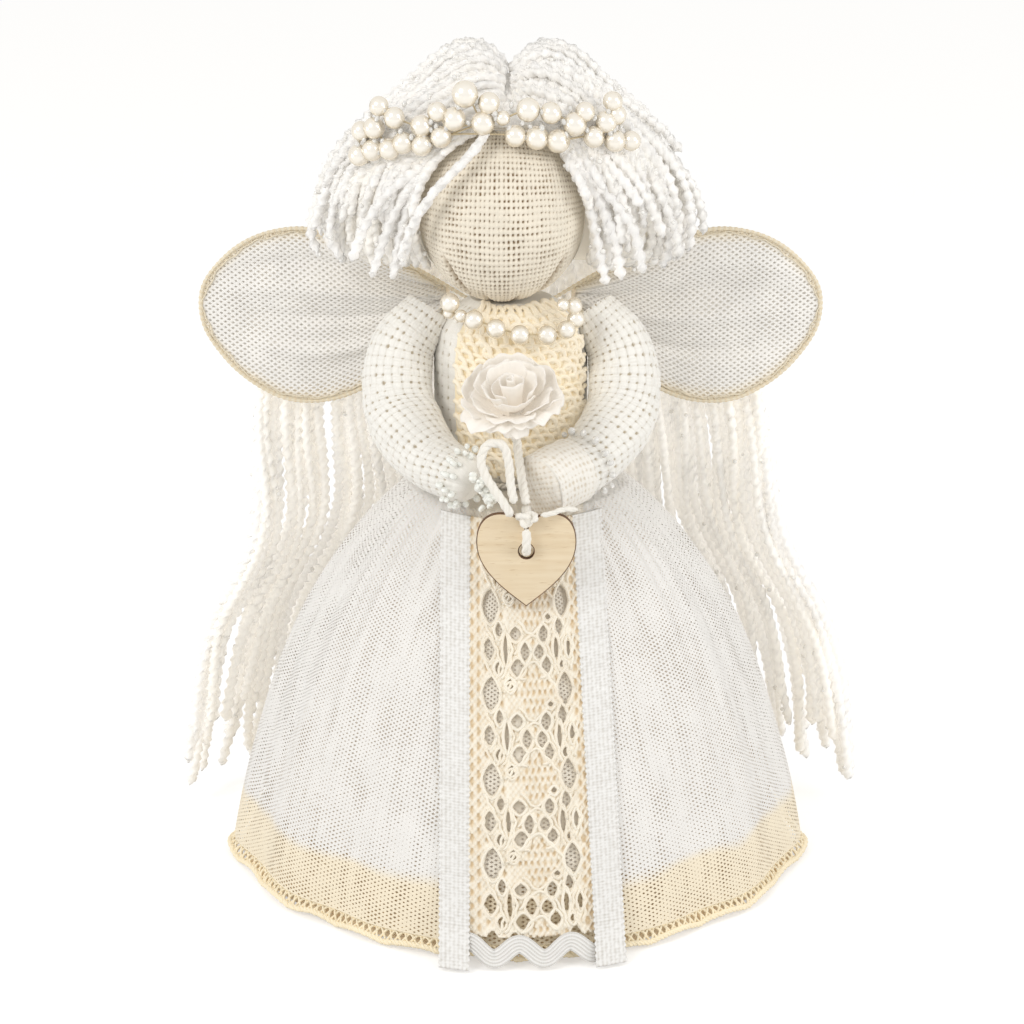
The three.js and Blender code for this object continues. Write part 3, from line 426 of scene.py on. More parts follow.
def add_twisted(cloth, line, radius, away, plies=3, lay=8.0, sides=7):
    """Plies laid round each other along a line, drawn together at its ends."""
    line = respaced(line, 0.45)
    first, second = square_to(directions_of(line), away)
    along = np.linspace(0, length_of(line), len(line))
    drawn = np.clip(np.minimum(along, along[-1] - along) / 0.8, 0.45, 1)
    for ply in range(plies):
        sideways = turned(first, second, 2 * math.pi * (along / lay + ply / plies))
        ply_line = line + sideways * (radius * 0.38 * drawn)[:, None]
        cloth.add_tube(rings_along(ply_line, radius * 0.62 * drawn, sideways, sides), length=along[-1])


def cord_piece(name, points, radius, away, body="doll"):
    line = curve_through(points, 0.4)
    cloth = Cloth()
    add_twisted(cloth, line, radius, away)
    return cloth.piece(name + "_cotton", cord_cotton, [name], "cord", body), line


def make_cords():
    cord_piece("rose_stem", STEM_ROUTE, CORD_RADIUS, (1, 0, 0))
    cord_piece("cord_tail", TAIL_ROUTE, TAIL_RADIUS, (0, -1, 0))
    bow, line = cord_piece("bow_loop", BOW_ROUTE, CORD_RADIUS, (0, -1, 0))
    loop, line = cord_piece("heart_cord", HEART_CORD_ROUTE, CORD_RADIUS, (1, 0, 0), "heart_cord")


def make_knot():
    """The cord drawn into a small overhand knot, which crosses itself three times."""
    cloth = Cloth()
    turn = np.linspace(0.3, 0.3 + 2 * math.pi, 90)
    half = KNOT_HALF - 1.0
    trefoil = xyz((np.sin(turn) + 2 * np.sin(2 * turn)) / 2.6 * half[0],
                  -np.sin(3 * turn) * half[1] * 0.75,
                  (np.cos(turn) - 2 * np.cos(2 * turn)) / 2.6 * half[2])
    add_twisted(cloth, KNOT + trefoil, KNOT_CORD_RADIUS, (0.2, -0.4, 0.9), lay=6.0)
    climb, round_it = np.linspace(0, math.pi, 10)[:, None], np.linspace(0, 2 * math.pi, 16, endpoint=False)
    core = xyz(np.sin(climb) * np.cos(round_it), np.sin(climb) * np.sin(round_it), -np.cos(climb))
    cloth.add_grid(core * (KNOT_HALF - 1.5) + KNOT, True)
    cloth.piece("cord_knot_turns", cord_cotton, ["cord_knot"], "cord")


add_camera()
make_cords()
make_knot()


# Skirt and its layers
# Second colours: on net_white a cream where the band shows through, and painted shade under the panel; on
# lace_cream and ribbon_white painted shade.
net_white = cloth_finish("net_white", (0.855, 0.835, 0.805), (0.9, 0.8, 0.62), 3000.0, 0.00005)
# lining_white's warm beige is partly its own colour and partly painted shade for what the net's openings
# show; its glow is painted light.
lining_white = cloth_finish("lining_white", (0.86, 0.78, 0.68), (0.6, 0.53, 0.43), 1800.0,
                            **glow(0.12, (1.0, 0.93, 0.84)))
band_cream = cloth_finish("band_cream", (0.82, 0.66, 0.45), (0.5, 0.38, 0.22), 1800.0, mottle=0.1)
hem_cream = cloth_finish("hem_cream", (0.95, 0.85, 0.64), (0.86, 0.72, 0.48), 3200.0, 0.0001, 0.12,
                         **glow(0.1, (1.0, 0.86, 0.6)))
lace_cream = cloth_finish("lace_cream", (0.93, 0.87, 0.75), (0.69, 0.52, 0.31), 3400.0, 0.00012, 0.1,
                          **glow(0.06, (1.0, 0.9, 0.74)))
ribbon_white = cloth_finish("ribbon_white", (0.87, 0.86, 0.84), (0.6, 0.57, 0.52), 3000.0, 0.00004,
                            Roughness=0.55, Sheen_Weight=0.3)
FOLD_START = math.radians(26)  # the front is smooth up to here, and the folds are full from the next
FOLD_FULL = math.radians(48)


def skirt_half_width(height, bulge=SKIRT_BULGE):
    top = HEM_HALF_WIDTH - SKIRT_TOP_HALF_WIDTH
    return HEM_HALF_WIDTH - top * (np.maximum(height, 0) / SKIRT_HEIGHT) ** bulge


def skirt_point(angle, height, inset, bulge=SKIRT_BULGE):
    """Points of the skirt's form. The angle turns from the front to the doll's left."""
    front = np.cos(angle) > 0
    power = np.where(front, FRONT_ROUNDNESS, 2.0)
    reach = (np.abs(np.sin(angle)) ** power + np.abs(np.cos(angle)) ** power) ** (-1 / power)
    half = (skirt_half_width(height, bulge) - inset) * reach
    deep = np.where(front, HEM_REACH / HEM_HALF_WIDTH, 1.0)
    return xyz(half * np.sin(angle), -half * np.cos(angle) * deep, height)


def front_point(x, height, outset, flare):
    """The front of the skirt at a place across it. What lies on it curls forward near the table by flare."""
    half = skirt_half_width(height) + outset
    deep = (1 - np.abs(x / half) ** FRONT_ROUNDNESS) ** (1 / FRONT_ROUNDNESS)
    curl = flare * np.maximum(1 - height / 24, 0) ** 2
    return xyz(x, -half * HEM_REACH / HEM_HALF_WIDTH * deep - curl, height)


def bodice_point(angle, height, outset):
    share = read_table(BODICE_SHARES, (height - BODICE_FOOT) / (BODICE_TOP - BODICE_FOOT))
    return xyz(BODY_LEAN + (BODICE_HALF_WIDTH * share + outset) * np.sin(angle),
               -(BODICE_HALF_DEPTH * share + outset) * np.cos(angle), height)


def fold_inset(angle, height):
    from_front = np.abs((angle + math.pi) % (2 * math.pi) - math.pi)
    fade = smoothstep(from_front, FOLD_START, FOLD_FULL)
    wave = 0.5 - 0.5 * np.cos(FOLD_COUNT * angle + np.sin(3 * angle))
    return FOLD_DEPTH * fade * wave * (1 - height / SKIRT_HEIGHT)


def add_net(cloth, columns, rows, place, hole, shade, open_share, keep=None):
    """Net of staggered openings over whole columns and half rows. place(across, up) gives the points of
    places in those units, and hole is half an opening's width and height in them."""
    across, up = np.meshgrid(np.arange(columns + 1), np.arange(rows + 1))
    knots = (across + up) % 2 == 1
    number = np.full(across.shape, -1)
    number[knots] = np.arange(knots.sum())
    cells = ~knots
    if keep is not None:
        cells &= keep(across, up)
    a, u = across[cells], up[cells]
    inside = (a > 0) & (a < columns) & (u > 0) & (u < rows)
    spots = [np.stack([across[knots], up[knots]], axis=1).astype(float)]
    outer = [number[u[inside] - 1, a[inside]], number[u[inside], a[inside] + 1],
             number[u[inside] + 1, a[inside]], number[u[inside], a[inside] - 1]]
    size = open_share(a[inside], u[inside])
    inner = []
    for right, above in ((0, -1), (1, 0), (0, 1), (-1, 0)):
        inner.append(sum(len(s) for s in spots) + np.arange(inside.sum()))
        opening = [a[inside] + right * hole[0] * size, u[inside] + above * hole[1] * size]
        spots.append(np.stack(opening, axis=1))
    spots = np.concatenate(spots)
    points = place(spots[:, 0], spots[:, 1])
    quads = [np.stack([outer[i], outer[(i + 1) % 4], inner[(i + 1) % 4], inner[i]], axis=1) for i in range(4)]
    start = cloth.count
    cloth.add(points, np.concatenate(quads), shade=shade(points))
    within = np.minimum(a, columns - a) + np.minimum(u, rows - u) > 0
    for border, corners in ((u == 0, ((0, -1), (0, 1), (1, 0))), (u == rows, ((0, 1), (0, -1), (-1, 0))),
                            (a == 0, ((-1, 0), (0, 1), (1, 0))), (a == columns, ((1, 0), (0, -1), (-1, 0)))):
        ours = border & within
        half_cell = [number[u[ours] + du, a[ours] + da] for du, da in corners]
        cloth.add_faces(np.stack(half_cell, axis=1), start)


NET_COLUMNS = 400
NET_ROWS = 222
NET_PUFF = 7.0  # how far the gathered net stands out from the skirt's form at the sides
WAIST_SHARE = 0.91  # of the net's height from hem to waist, above which it is gathered in


def net_place(angle, share):
    """A place on the overskirt's net, from its hem at 0 to its gathered edge at 1. The net has fine pleats at
    the waist, slack at the hem, soft folds between, and puffs out at the sides."""
    heights = np.linspace(NET_HEM, SKIRT_HEIGHT, 80)
    slant = np.concatenate([[0], np.cumsum(np.hypot(np.diff(heights), np.diff(skirt_half_width(heights))))])
    height = np.interp(np.minimum(share / WAIST_SHARE, 1) * slant[-1], slant, heights)
    rise = height / SKIRT_HEIGHT
    pleat = (0.5 - 0.5 * np.cos(66 * angle + 2 * np.sin(5 * angle))) * 1.3 * rise ** 4
    slack = 0.35 * (1 + uneven(angle * 60, share * 130, 17, 4)) * (1 - rise)
    sideways = smoothstep(np.abs(np.sin(angle)), 0.4, 0.85)
    puff = NET_PUFF * np.sin(math.pi * np.clip(rise, 0, 1) ** 2.2) ** 0.8 * sideways
    wave = 1.1 * (0.5 - 0.5 * np.cos(31 * angle + 2.4 * np.sin(4 * angle)))
    folds = wave * sideways * rise * (1.15 - rise) * 3
    on_skirt = skirt_point(angle, height, 0.1 + fold_inset(angle, height) + pleat + slack + folds - puff)
    gathered = bodice_point(angle, SKIRT_HEIGHT + 2.2, 0.7)
    inward = np.clip((share - WAIST_SHARE) / (1 - WAIST_SHARE), 0, 1)[..., None]
    return mix(on_skirt, gathered, inward)


def net_openness(a, u):
    """How open the overskirt's net is at its cells, in uneven upright lines with smooth stretches between."""
    lines = uneven(a, u * 0.12, 2.2, 51) + 0.6 * uneven(a * 0.5, u * 0.4, 6.0, 52)
    return np.clip(0.76 + 0.3 * lines + np.random.default_rng(53).uniform(-0.18, 0.18, a.shape), 0.3, 1.15)


def make_overskirt():
    """The net in two halves. It is creamier over the band at the hem, where the band shows through it, and
    under the lace panel, where the cream is painted shade; under the panel it is also more open."""
    half = NET_COLUMNS // 2

    def tint(points):
        x, y, z = points.T
        band_top = LINING_HEM + 0.5 + 1.6 * uneven(np.degrees(np.arctan2(x, -y)), z, 9, 12)
        # Painted shade under the panel: the net there takes some cream, which stands for the shade seen
        # through the panel's openings.
        panel = (y < 0) & (np.abs(x - 2) < 17)
        return np.maximum(1 - smoothstep(z, band_top - 2.2, band_top + 2.2), 0.45 * panel)

    def openness(a, u):
        from_front = np.minimum(first + a, NET_COLUMNS - first - a)
        return np.where(from_front < mix(13, 40, u / NET_ROWS), 1.05, net_openness(a, u))

    for name, first in (("overskirt_net_left", half), ("overskirt_net_right", 0)):
        cloth = Cloth()
        add_net(cloth, half, NET_ROWS,
                lambda a, u: net_place(2 * math.pi * (first + a) / NET_COLUMNS, u / NET_ROWS),
                (0.42, 0.52), tint, openness)
        piece = cloth.piece(name, net_white, ["overskirt_net"], "white_net")


def make_lining():
    angle = np.linspace(0, 2 * math.pi, 241)[:-1]
    for name, foot, top, rows, under, material, slot, flat, area in (
            ("skirt_lining", LINING_HEM - 1, CONE_TOP, 60, 0.0, lining_white, "white_lining",
             (0.51, 0.108), 0.0359),
            ("underskirt_band", 1.0, LINING_HEM - 0.3, 14, 0.3, band_cream, "cream_band",
             (0.545, 0.021), 0.0105)):
        height = np.linspace(foot, top, rows)[:, None]
        loose = 0.25 * uneven(np.degrees(angle)[None] * 1.2, height, 14, 3) + under
        cloth = Cloth()
        cloth.add_grid(skirt_point(angle[None], height, LINING_INSET + loose, 1), True)
        piece = cloth.piece(name + "_cloth", material, [name], slot)


HEM_ROUND = 560  # length of the hem, for counting stitches
LACE_HEIGHT = 4.7


def make_hem_lace():
    """Crochet edging: a header thread under the net, two zigzags and a twisted chain with small picots."""
    cloth = Cloth()
    angle = np.linspace(0, 2 * math.pi, 1301)[:-1]
    outward = xyz(np.sin(angle), -np.cos(angle), 0)
    scallop = np.abs(np.sin(27 * angle / 2))
    wander = 0.25 * uneven(np.degrees(angle) * 1.55, 0 * angle, 5, 8)

    def edge_line(drop, inset):
        return skirt_point(angle, LACE_HEIGHT - drop, inset + fold_inset(angle, LACE_HEIGHT))

    def add_round(line, radius, sides, shade):
        line = np.concatenate([line, line[:1]])
        rings = rings_along(line, radius, np.concatenate([outward, outward[:1]]), sides)
        cloth.add_tube(rings[:-1], caps=False, shade=shade)
        cloth.add_grid(np.stack([rings[-2], rings[0]]), True, shade=shade)

    add_round(edge_line(0.1 + 0 * angle, 1.4), 0.45, 5, 0.1)
    for ply in range(3):
        turn = 2 * math.pi * (np.round(HEM_ROUND / 4.2) * angle / (2 * math.pi) + ply / 3)
        picot = 0.28 * (0.5 + 0.5 * np.cos(np.round(HEM_ROUND / 3.1) * angle))
        line = edge_line(3.3 - scallop + 0.42 * np.sin(turn) + wander, -0.5 - picot - 0.42 * np.cos(turn))
        add_round(line, 0.5, 5, 0.25)
    waves = round(HEM_ROUND / 5.2)
    for phase in (0, math.pi):
        rise = 0.5 + 0.5 * np.cos(waves * angle + phase + 0.4 * np.sin(7 * angle))
        drop = mix(3.2 - scallop, 0.2, rise ** 0.8)
        line = edge_line(drop, mix(-0.3, 1.3, rise) + 0.3 * np.sin(waves * angle * 2 + phase))
        add_round(line, 0.42, 4, 0.35)
    cloth.piece("hem_lace_crochet", hem_cream, ["hem_lace"], "cream_lace")


def make_waist_cord():
    cloth = Cloth()
    angle = np.linspace(0, 2 * math.pi, 301)
    outward = xyz(np.sin(angle), -np.cos(angle), 0)
    line = bodice_point(angle, SKIRT_HEIGHT + 3.4, 1.2)
    for ply in range(2):
        turn = 2 * math.pi * (40 * angle / (2 * math.pi) + ply / 2)
        aside = outward * (0.42 * np.cos(turn))[:, None]
        rise = xyz(0, 0, 1) * (0.42 * np.sin(turn))[:, None]
        rings = rings_along(line + aside + rise, 0.5, outward, 5)
        rings[-1] = rings[0]
        cloth.add_grid(rings, True)
    cloth.piece("waist_cord_twist", cord_cotton, ["waist_cord"], "cord")


# Front panel
def panel_edge(side, height):
    down = (PANEL_TOP - height) / (PANEL_TOP - PANEL_FOOT)
    return PANEL_LEFT if side < 0 else mix(PANEL_RIGHT_AT_TOP, PANEL_RIGHT_AT_FOOT, down)


def lace_point(x, down, outset):
    """A place on the front panel at millimetres across and down its pattern."""
    height = PANEL_TOP - down
    left, right = panel_edge(-1, height), panel_edge(1, height)
    return front_point(left + (right - left) * x / LACE_WIDE, height, outset, PANEL_CURL)


LACE_WIDE = 33.0  # width that the pattern's places are given for
TILE = 22.0  # the pattern repeats each this many millimetres down
LACE_CORNER = 1.45  # shape of an opening, from a diamond at 1 to an oval at 2
LACE_SWELL = 1.16  # how much larger an opening is cut than its half sizes say
# Openings of one repeat: middle across and down, then half width and half height
LACE_OPENINGS = (
    (6.45, 21.6, 2.1, 3.8), (27.9, 20.5, 1.75, 3.6), (5.9, 10.4, 1.4, 2.4), (29.4, 10.2, 0.55, 2.1),
    (8.9, 5.5, 0.85, 1.7), (26.8, 5.1, 1.0, 2.1), (10.9, 10.2, 0.55, 3.6), (25.8, 10.2, 0.55, 3.3),
    (13.9, 6.3, 1.5, 1.5), (22.2, 6.5, 1.25, 1.9), (14.4, 14.8, 1.7, 1.9), (22.8, 14.3, 1.15, 1.9),
    (16.6, 10.8, 1.2, 2.1), (20.8, 11.0, 1.25, 1.7), (12.1, 19.7, 0.85, 0.85), (23.6, 2.3, 0.7, 0.7),
    (12.1, 18.8, 1.0, 1.0), (8.7, 15.0, 0.85, 1.3), (27.3, 14.6, 0.6, 1.0), (31.5, 16.0, 0.3, 0.8),
    (5.2, 15.2, 0.45, 0.7), (19.0, 8.6, 0.35, 0.6), (17.0, 15.2, 0.35, 0.8), (20.0, 15.4, 0.35, 0.7),
    (9.6, 2.0, 0.4, 0.8), (25.6, 17.8, 0.4, 0.8), (24.6, 9.6, 0.4, 1.0), (12.6, 9.0, 0.35, 0.7),
)


def fine_openings():
    """Small openings that are only pressed in: along both edges, and in a diamond in the middle."""
    spots = [spot for spot in LACE_OPENINGS if spot[2] < 0.5]
    for k in range(6):
        spots += [(0.95, 3.67 * k + 0.4, 0.5, 0.95), (2.85, 3.67 * k + 2.2, 0.5, 0.95),
                  (31.0, 3.67 * k + 1.2, 0.5, 0.95), (32.3, 3.67 * k + 3.0, 0.45, 0.95)]
    for row in range(-2, 3):
        for column in range(-3, 4):
            if abs(row) / 3 + abs(column) / 4 < 1.05:
                spots.append((18.8 + column * 1.7 + (row % 2) * 0.85, 21.3 + row * 2.2, 0.36, 0.7))
    return spots


def diamond(x, y):
    """How far a place is from the middle, where an opening's edge is at 1."""
    return (np.abs(x) ** LACE_CORNER + np.abs(y) ** LACE_CORNER) ** (1 / LACE_CORNER)


def lace_openness(x, down, fine=False):
    """Distance to the nearest opening's edge, below zero inside one, for the openings that are cut through or
    for the fine ones."""
    spots = fine_openings() if fine else [spot for spot in LACE_OPENINGS if spot[2] >= 0.5]
    nearest = np.full(np.broadcast(x, down).shape, 9.0)
    for cx, cy, half_x, half_y in spots:
        away = (down - cy + TILE / 2) % TILE - TILE / 2
        spot = diamond((x - cx) / half_x, away / half_y)
        nearest = np.minimum(nearest, (spot / LACE_SWELL - 1) * min(half_x, half_y))
    return nearest + (0.06 if fine else 0.24) * uneven(x, down, 1.3, 62)


def pull_to_edge(x, down):
    """Moves places that lie just inside an opening onto its edge."""
    small = 0.02
    f = lace_openness(x, down)
    gx = (lace_openness(x + small, down) - f) / small
    gy = (lace_openness(x, down + small) - f) / small
    move = np.clip(-f / np.maximum(gx ** 2 + gy ** 2, 0.05), 0, 0.5)
    return x + gx * move, down + gy * move


def add_slab(cloth, front, back, uv=None, shade=0.0, keep=None):
    """A sheet with a front, a back and closed edges, over a grid of points."""
    rows, columns = front.shape[:2]
    faces = grid_faces(rows, columns)
    keep = np.ones(len(faces), bool) if keep is None else keep.ravel()
    faces = faces[keep]
    count = rows * columns
    pairs = np.concatenate([np.stack([faces[:, i], faces[:, (i + 1) % 4]], axis=1) for i in range(4)])
    code, reverse = pairs[:, 0] * count + pairs[:, 1], pairs[:, 1] * count + pairs[:, 0]
    rim = pairs[~np.isin(code, reverse)]
    walls = np.stack([rim[:, 1], rim[:, 0], rim[:, 0] + count, rim[:, 1] + count], axis=1)
    every = np.concatenate([faces, faces[:, ::-1] + count, walls])
    points = np.concatenate([front.reshape(-1, 3), back.reshape(-1, 3)])
    corner_uv = None if uv is None else np.concatenate([uv.reshape(-1, 2)] * 2)[every]
    tint = np.concatenate([np.broadcast_to(shade, front.shape[:2]).ravel()] * 2)
    cloth.add(points, every, corner_uv, tint)


def make_lace_panel():
    """The front panel: a plaited ground with a rope round each opening and pits at the fine ones."""
    spacing = 0.36
    across, down = np.meshgrid(np.arange(0, LACE_WIDE + 0.1, spacing * 33 / 32),
                               np.arange(0, PANEL_TOP - PANEL_FOOT, spacing))
    inside = lace_openness(across, down) < 0
    x, d = pull_to_edge(across, down)
    keep = ~(inside[:-1, :-1] & inside[1:, :-1] & inside[:-1, 1:] & inside[1:, 1:])
    f = np.maximum(lace_openness(x, d), 0)
    rope = 0.5 * np.exp(-((f - 0.42) / 0.3) ** 2)
    plait = (0.17 * np.sin(2 * math.pi * (x + d * 0.8) / 1.5)
             + 0.17 * np.sin(2 * math.pi * (x - d * 0.8) / 1.5))
    pit = smoothstep(-lace_openness(x, d, True), -0.14, 0.12)
    relief = rope + np.where(f > 0.75, plait, plait * 0.5) + 0.1 * uneven(x, d, 1.6, 9) - 0.5 * pit
    front, back = lace_point(x, d, 0.95 + relief), lace_point(x, d, 0.3)
    # Painted shade: the fine openings' pits and the low ground go to the gap colour, and the ropes and the
    # plait's crests are lighter.
    shade = np.clip(0.2 - 0.5 * rope - 0.8 * plait + 0.1 * uneven(x, d, 3, 5) + 0.8 * pit, 0, 1)
    cloth = Cloth()
    add_slab(cloth, front[::-1], back[::-1], np.stack([x, d], -1)[::-1], shade[::-1], keep[::-1])
    piece = cloth.piece("lace_panel_crochet", lace_cream, ["lace_panel"], "cream_lace")
    make_lace_cords()


# Cords that cross each repeat, as places across and down
LACE_VEINS = (
    ((4.2, 3), (7.2, 8), (9.2, 13.5), (8.0, 18)), ((10.2, 4), (12.6, 9), (12.2, 13), (9.6, 17.6)),
    ((29.6, 3), (27.9, 8), (27.4, 12), (28.9, 17)), ((24.6, 4), (23.2, 9.5), (25, 12.8), (26, 17)),
    ((14.6, 2.6), (18.6, 6.2), (22.6, 3)), ((13.6, 11.4), (15.4, 8.6), (18.7, 6.6), (21.8, 9), (23, 11.6)),
    ((13.8, 17.6), (18.7, 13.2), (23.4, 17.2)), ((10.4, 21), (14, 17.4), (16.6, 17.6)),
    ((26, 21), (23, 17), (21, 17.4)), ((4.4, 7), (4.2, 12), (6.4, 16.6), (4.2, 18.6)),
    ((31, 7), (30.6, 12), (30, 16)))


def make_lace_cords():
    """The lace's raised cords: a thread round every opening and the veins between, each a little uneven."""
    cloth = Cloth()
    rng = np.random.default_rng(61)
    panel = PANEL_TOP - PANEL_FOOT
    around = np.linspace(0, 2 * math.pi, 21)
    corner = LACE_SWELL / diamond(np.cos(around), np.sin(around))
    for top in np.arange(-TILE, panel, TILE):
        paths = [(cx + (half_x + 0.42) * corner * np.cos(around),
                  cy + (half_y + 0.42) * corner * np.sin(around))
                 for cx, cy, half_x, half_y in LACE_OPENINGS if half_x > 0.5]
        for vein in LACE_VEINS:
            line = curve_through([(a, b, 0.0) for a, b in vein], 0.6)
            paths.append((line[:, 0] + 0.25 * np.sin(line[:, 1] * 2), line[:, 1]))
        for across, down in paths:
            down = down + top
            if down.min() < 0.6 or down.max() > panel - 0.6:
                continue
            line = lace_point(np.clip(across, 0.4, LACE_WIDE - 0.4), down,
                              1.45 + 0.14 * np.sin(across * 5 + down * 4))
            rings = rings_along(line, rng.uniform(0.38, 0.48), FORWARD, 5)
            cloth.add_tube(rings, shade=rng.uniform(0.0, 0.2))
    return cloth.piece("lace_panel_cords", lace_cream, ["lace_panel"], "cream_lace")


RIB_PITCH = 0.78
PICOT_PITCH = 1.4


def make_ribbons():
    """Ribbed ribbons, each with a row of small picots along both edges and its inner edge under the lace."""
    length = PANEL_TOP - 1.0
    across, down = np.meshgrid(np.linspace(0, 1, 29), np.linspace(0, 1, 431))
    height = PANEL_TOP - down * length
    stitch = np.cos(2 * math.pi * down * length / PICOT_PITCH)
    picot = 0.22 * stitch * (np.abs(across - 0.5) * 2) ** 8
    knots = 0.16 * stitch * np.exp(-((np.abs(across - 0.5) - 0.45) / 0.04) ** 2)
    ribs = 0.09 * np.cos(2 * math.pi * down * length / RIB_PITCH)
    ribs = ribs * np.minimum(1, 8 * np.minimum(across, 1 - across))
    uv = np.stack([across * RIBBON_WIDTH, down * length], -1)
    for side, name in ((-1, "ribbon_left"), (1, "ribbon_right")):
        inner = panel_edge(side, height) - side * 0.25
        x = inner + (RIBBON_WIDTH * (across if side > 0 else across - 1) + picot * np.sign(across - 0.5))
        soft = 0.22 * uneven(across * 8, down * 110, 13, 21 + side)
        front = front_point(x, height, 1.15 + ribs + knots + soft, RIBBON_CURL)
        back = front_point(x, height, 0.5 + soft, RIBBON_CURL)
        # Painted shade: the ribbon is darker between its ribs and lighter on the ribs and the picot knots,
        # with random darker specks.
        wear_and_painted_rib_shade = ribs * (0.65 + 0.5 * uneven(across * 31, down * 40, 1.2, 23 + side))
        grooves = wear_and_painted_rib_shade + 0.08 * np.cos(across * 14 * math.pi)
        speckle = 0.4 * uneven(across * 17, down * 260, 1.3, 25)
        shade = np.clip(0.2 - grooves * 3.5 - knots * 2 + speckle, 0, 1)
        cloth = Cloth()
        add_slab(cloth, front[::-1], back[::-1], uv[::-1], shade[::-1])
        piece = cloth.piece(name + "_weave", ribbon_white, [name], "white_ribbon")


RICKRACK_WAVES = 2.5
RICKRACK_RISE = 1.9
RICKRACK_HALF_WIDTH = 2.35
RICKRACK_HEIGHT = 5.4


def make_rickrack():
    along = np.linspace(0, 1, 161)[:, None]
    across = np.linspace(-1, 1, 33)[None]
    phase = along * RICKRACK_WAVES * 2 * math.pi
    length = PANEL_RIGHT_AT_FOOT - PANEL_LEFT
    slope = -RICKRACK_RISE * np.sin(phase) * RICKRACK_WAVES * 2 * math.pi / length
    lean = np.sqrt(1 + slope ** 2)
    x = mix(PANEL_LEFT, PANEL_RIGHT_AT_FOOT, along) - across * RICKRACK_HALF_WIDTH * slope / lean
    height = RICKRACK_HEIGHT + RICKRACK_RISE * np.cos(phase) + across * RICKRACK_HALF_WIDTH / lean
    ridges = 0.16 * np.cos(across * 5.5 * math.pi) + 0.05 * np.cos(along * 150 * math.pi)
    front, back = (front_point(x, height, outset, PANEL_CURL) for outset in (2.3 + ridges, 1.7))
    cloth = Cloth()
    # Painted shade: darker between the ridges, lighter on them.
    add_slab(cloth, front, back, shade=np.clip(0.3 - 2 * ridges, 0, 1))
    cloth.piece("rickrack_braid", ribbon_white, ["rickrack_trim"], "white_ribbon")


make_overskirt()
make_lining()
make_hem_lace()
make_waist_cord()
make_lace_panel()
make_ribbons()
make_rickrack()


# Body, arms and head
# The second colours of sleeve_cotton, head_linen and cuff_knit are painted shade, for holes, low threads,
# gathers and the cuff's mouth.
sleeve_cotton = cloth_finish("sleeve_cotton", (0.935, 0.915, 0.865), (0.5, 0.42, 0.3), 3000.0, 0.0001)
yoke_cream = cloth_finish("yoke_cream", (0.93, 0.85, 0.7), (0.92, 0.79, 0.55), 3200.0, 0.00012, 0.08,
                          **glow(0.11, (1.0, 0.88, 0.68)))
yoke_ground = cloth_finish("yoke_ground", (0.98, 0.88, 0.67), (0.88, 0.73, 0.48), 2400.0)
head_linen = cloth_finish("head_linen", (0.89, 0.815, 0.685), (0.3, 0.2, 0.1), 2600.0, 0.00014, 0.12)
cuff_knit = cloth_finish("cuff_knit", (0.93, 0.9, 0.84), (0.7, 0.62, 0.5), 3000.0, 0.0001)

HOLE_SIZE = 0.36


def block_weave(u, v, block, threads, seed):
    """Height and openness, 0 to 1, of cotton woven in blocks of threads with a small hole at each corner."""
    u = u + 0.35 * uneven(u, v, 11, seed)
    v = v + 0.35 * uneven(u, v, 13, seed + 1)
    i, j = np.floor(u / block), np.floor(v / block)
    a, b = u / block - i, v / block - j
    along_v = (i + j) % 2 == 0
    side, run = np.where(along_v, a, b), np.where(along_v, b, a)
    thread = np.abs(np.sin(math.pi * threads * side)) ** 0.6
    crown = np.sin(math.pi * np.clip(run, 0.02, 0.98)) ** 0.35
    corner = np.hypot(a - np.round(a), (b - np.round(b))) * block
    spread = uneven(np.round(u / block) * 3.1, np.round(v / block) * 2.7, 1.0, seed + 2)
    size = HOLE_SIZE * (1 + 0.75 * spread)
    hole = 1 - smoothstep(corner, size * 0.55, size * 1.15)
    seam = np.exp(-((np.abs(side - np.round(side)) * block) / 0.16) ** 2) * 0.5
    return np.clip(0.35 + 0.4 * thread * crown + 0.25 * crown - 0.3 * seam, 0, 1) * (1 - hole), hole


def plain_weave(u, v, warp, weft, seed):
    """Height from 0 to 1 and openness of a plain weave of round uneven threads."""
    u = u + 0.22 * uneven(u, v, 6.5, seed)
    v = v + 0.22 * uneven(u, v, 6.5, seed + 1)
    i, j = np.round(u / warp), np.round(v / weft)
    width = np.random.default_rng(seed).uniform(0.56, 0.84, (2, 512))
    slub = 0.1 * uneven(u, v, 4.0, seed + 2)
    across = np.abs(u / warp - i) * 2 / (width[0][i.astype(int) % 512] + slub)
    along = np.abs(v / weft - j) * 2 / (width[1][j.astype(int) % 512] - 0.05 + slub)
    up = np.cos(math.pi * (i + v / weft))
    warp_top = np.where(across < 1, 0.5 + 0.28 * np.sqrt(np.clip(1 - across ** 2, 0, 1)) + 0.2 * up, 0)
    down = np.cos(math.pi * (j + u / warp))
    weft_top = np.where(along < 1, 0.5 + 0.28 * np.sqrt(np.clip(1 - along ** 2, 0, 1)) - 0.2 * down, 0)
    height = np.maximum(warp_top, weft_top)
    return height, (height <= 0).astype(float)


def round_uv(sides, wide, height):
    """The cloth's own places round a tube: one column more than its sides, wide millimetres round."""
    return np.stack(np.broadcast_arrays(np.arange(sides + 1)[None] / sides * wide, height), -1)


def close_end(cloth, rim, starts):
    """Closes the mouth of a stuffed tube with a flat end, at its start or at its other end."""
    middle = rim.mean(axis=0)
    rings = np.stack([mix(rim, middle, share) for share in (0.98, 0.5, 0)])
    cloth.add_grid(rings if starts else rings[::-1], True, shade=0.2)


BODICE_BLOCK = 3.3  # side of a woven block
BODICE_BLOCKS = 40


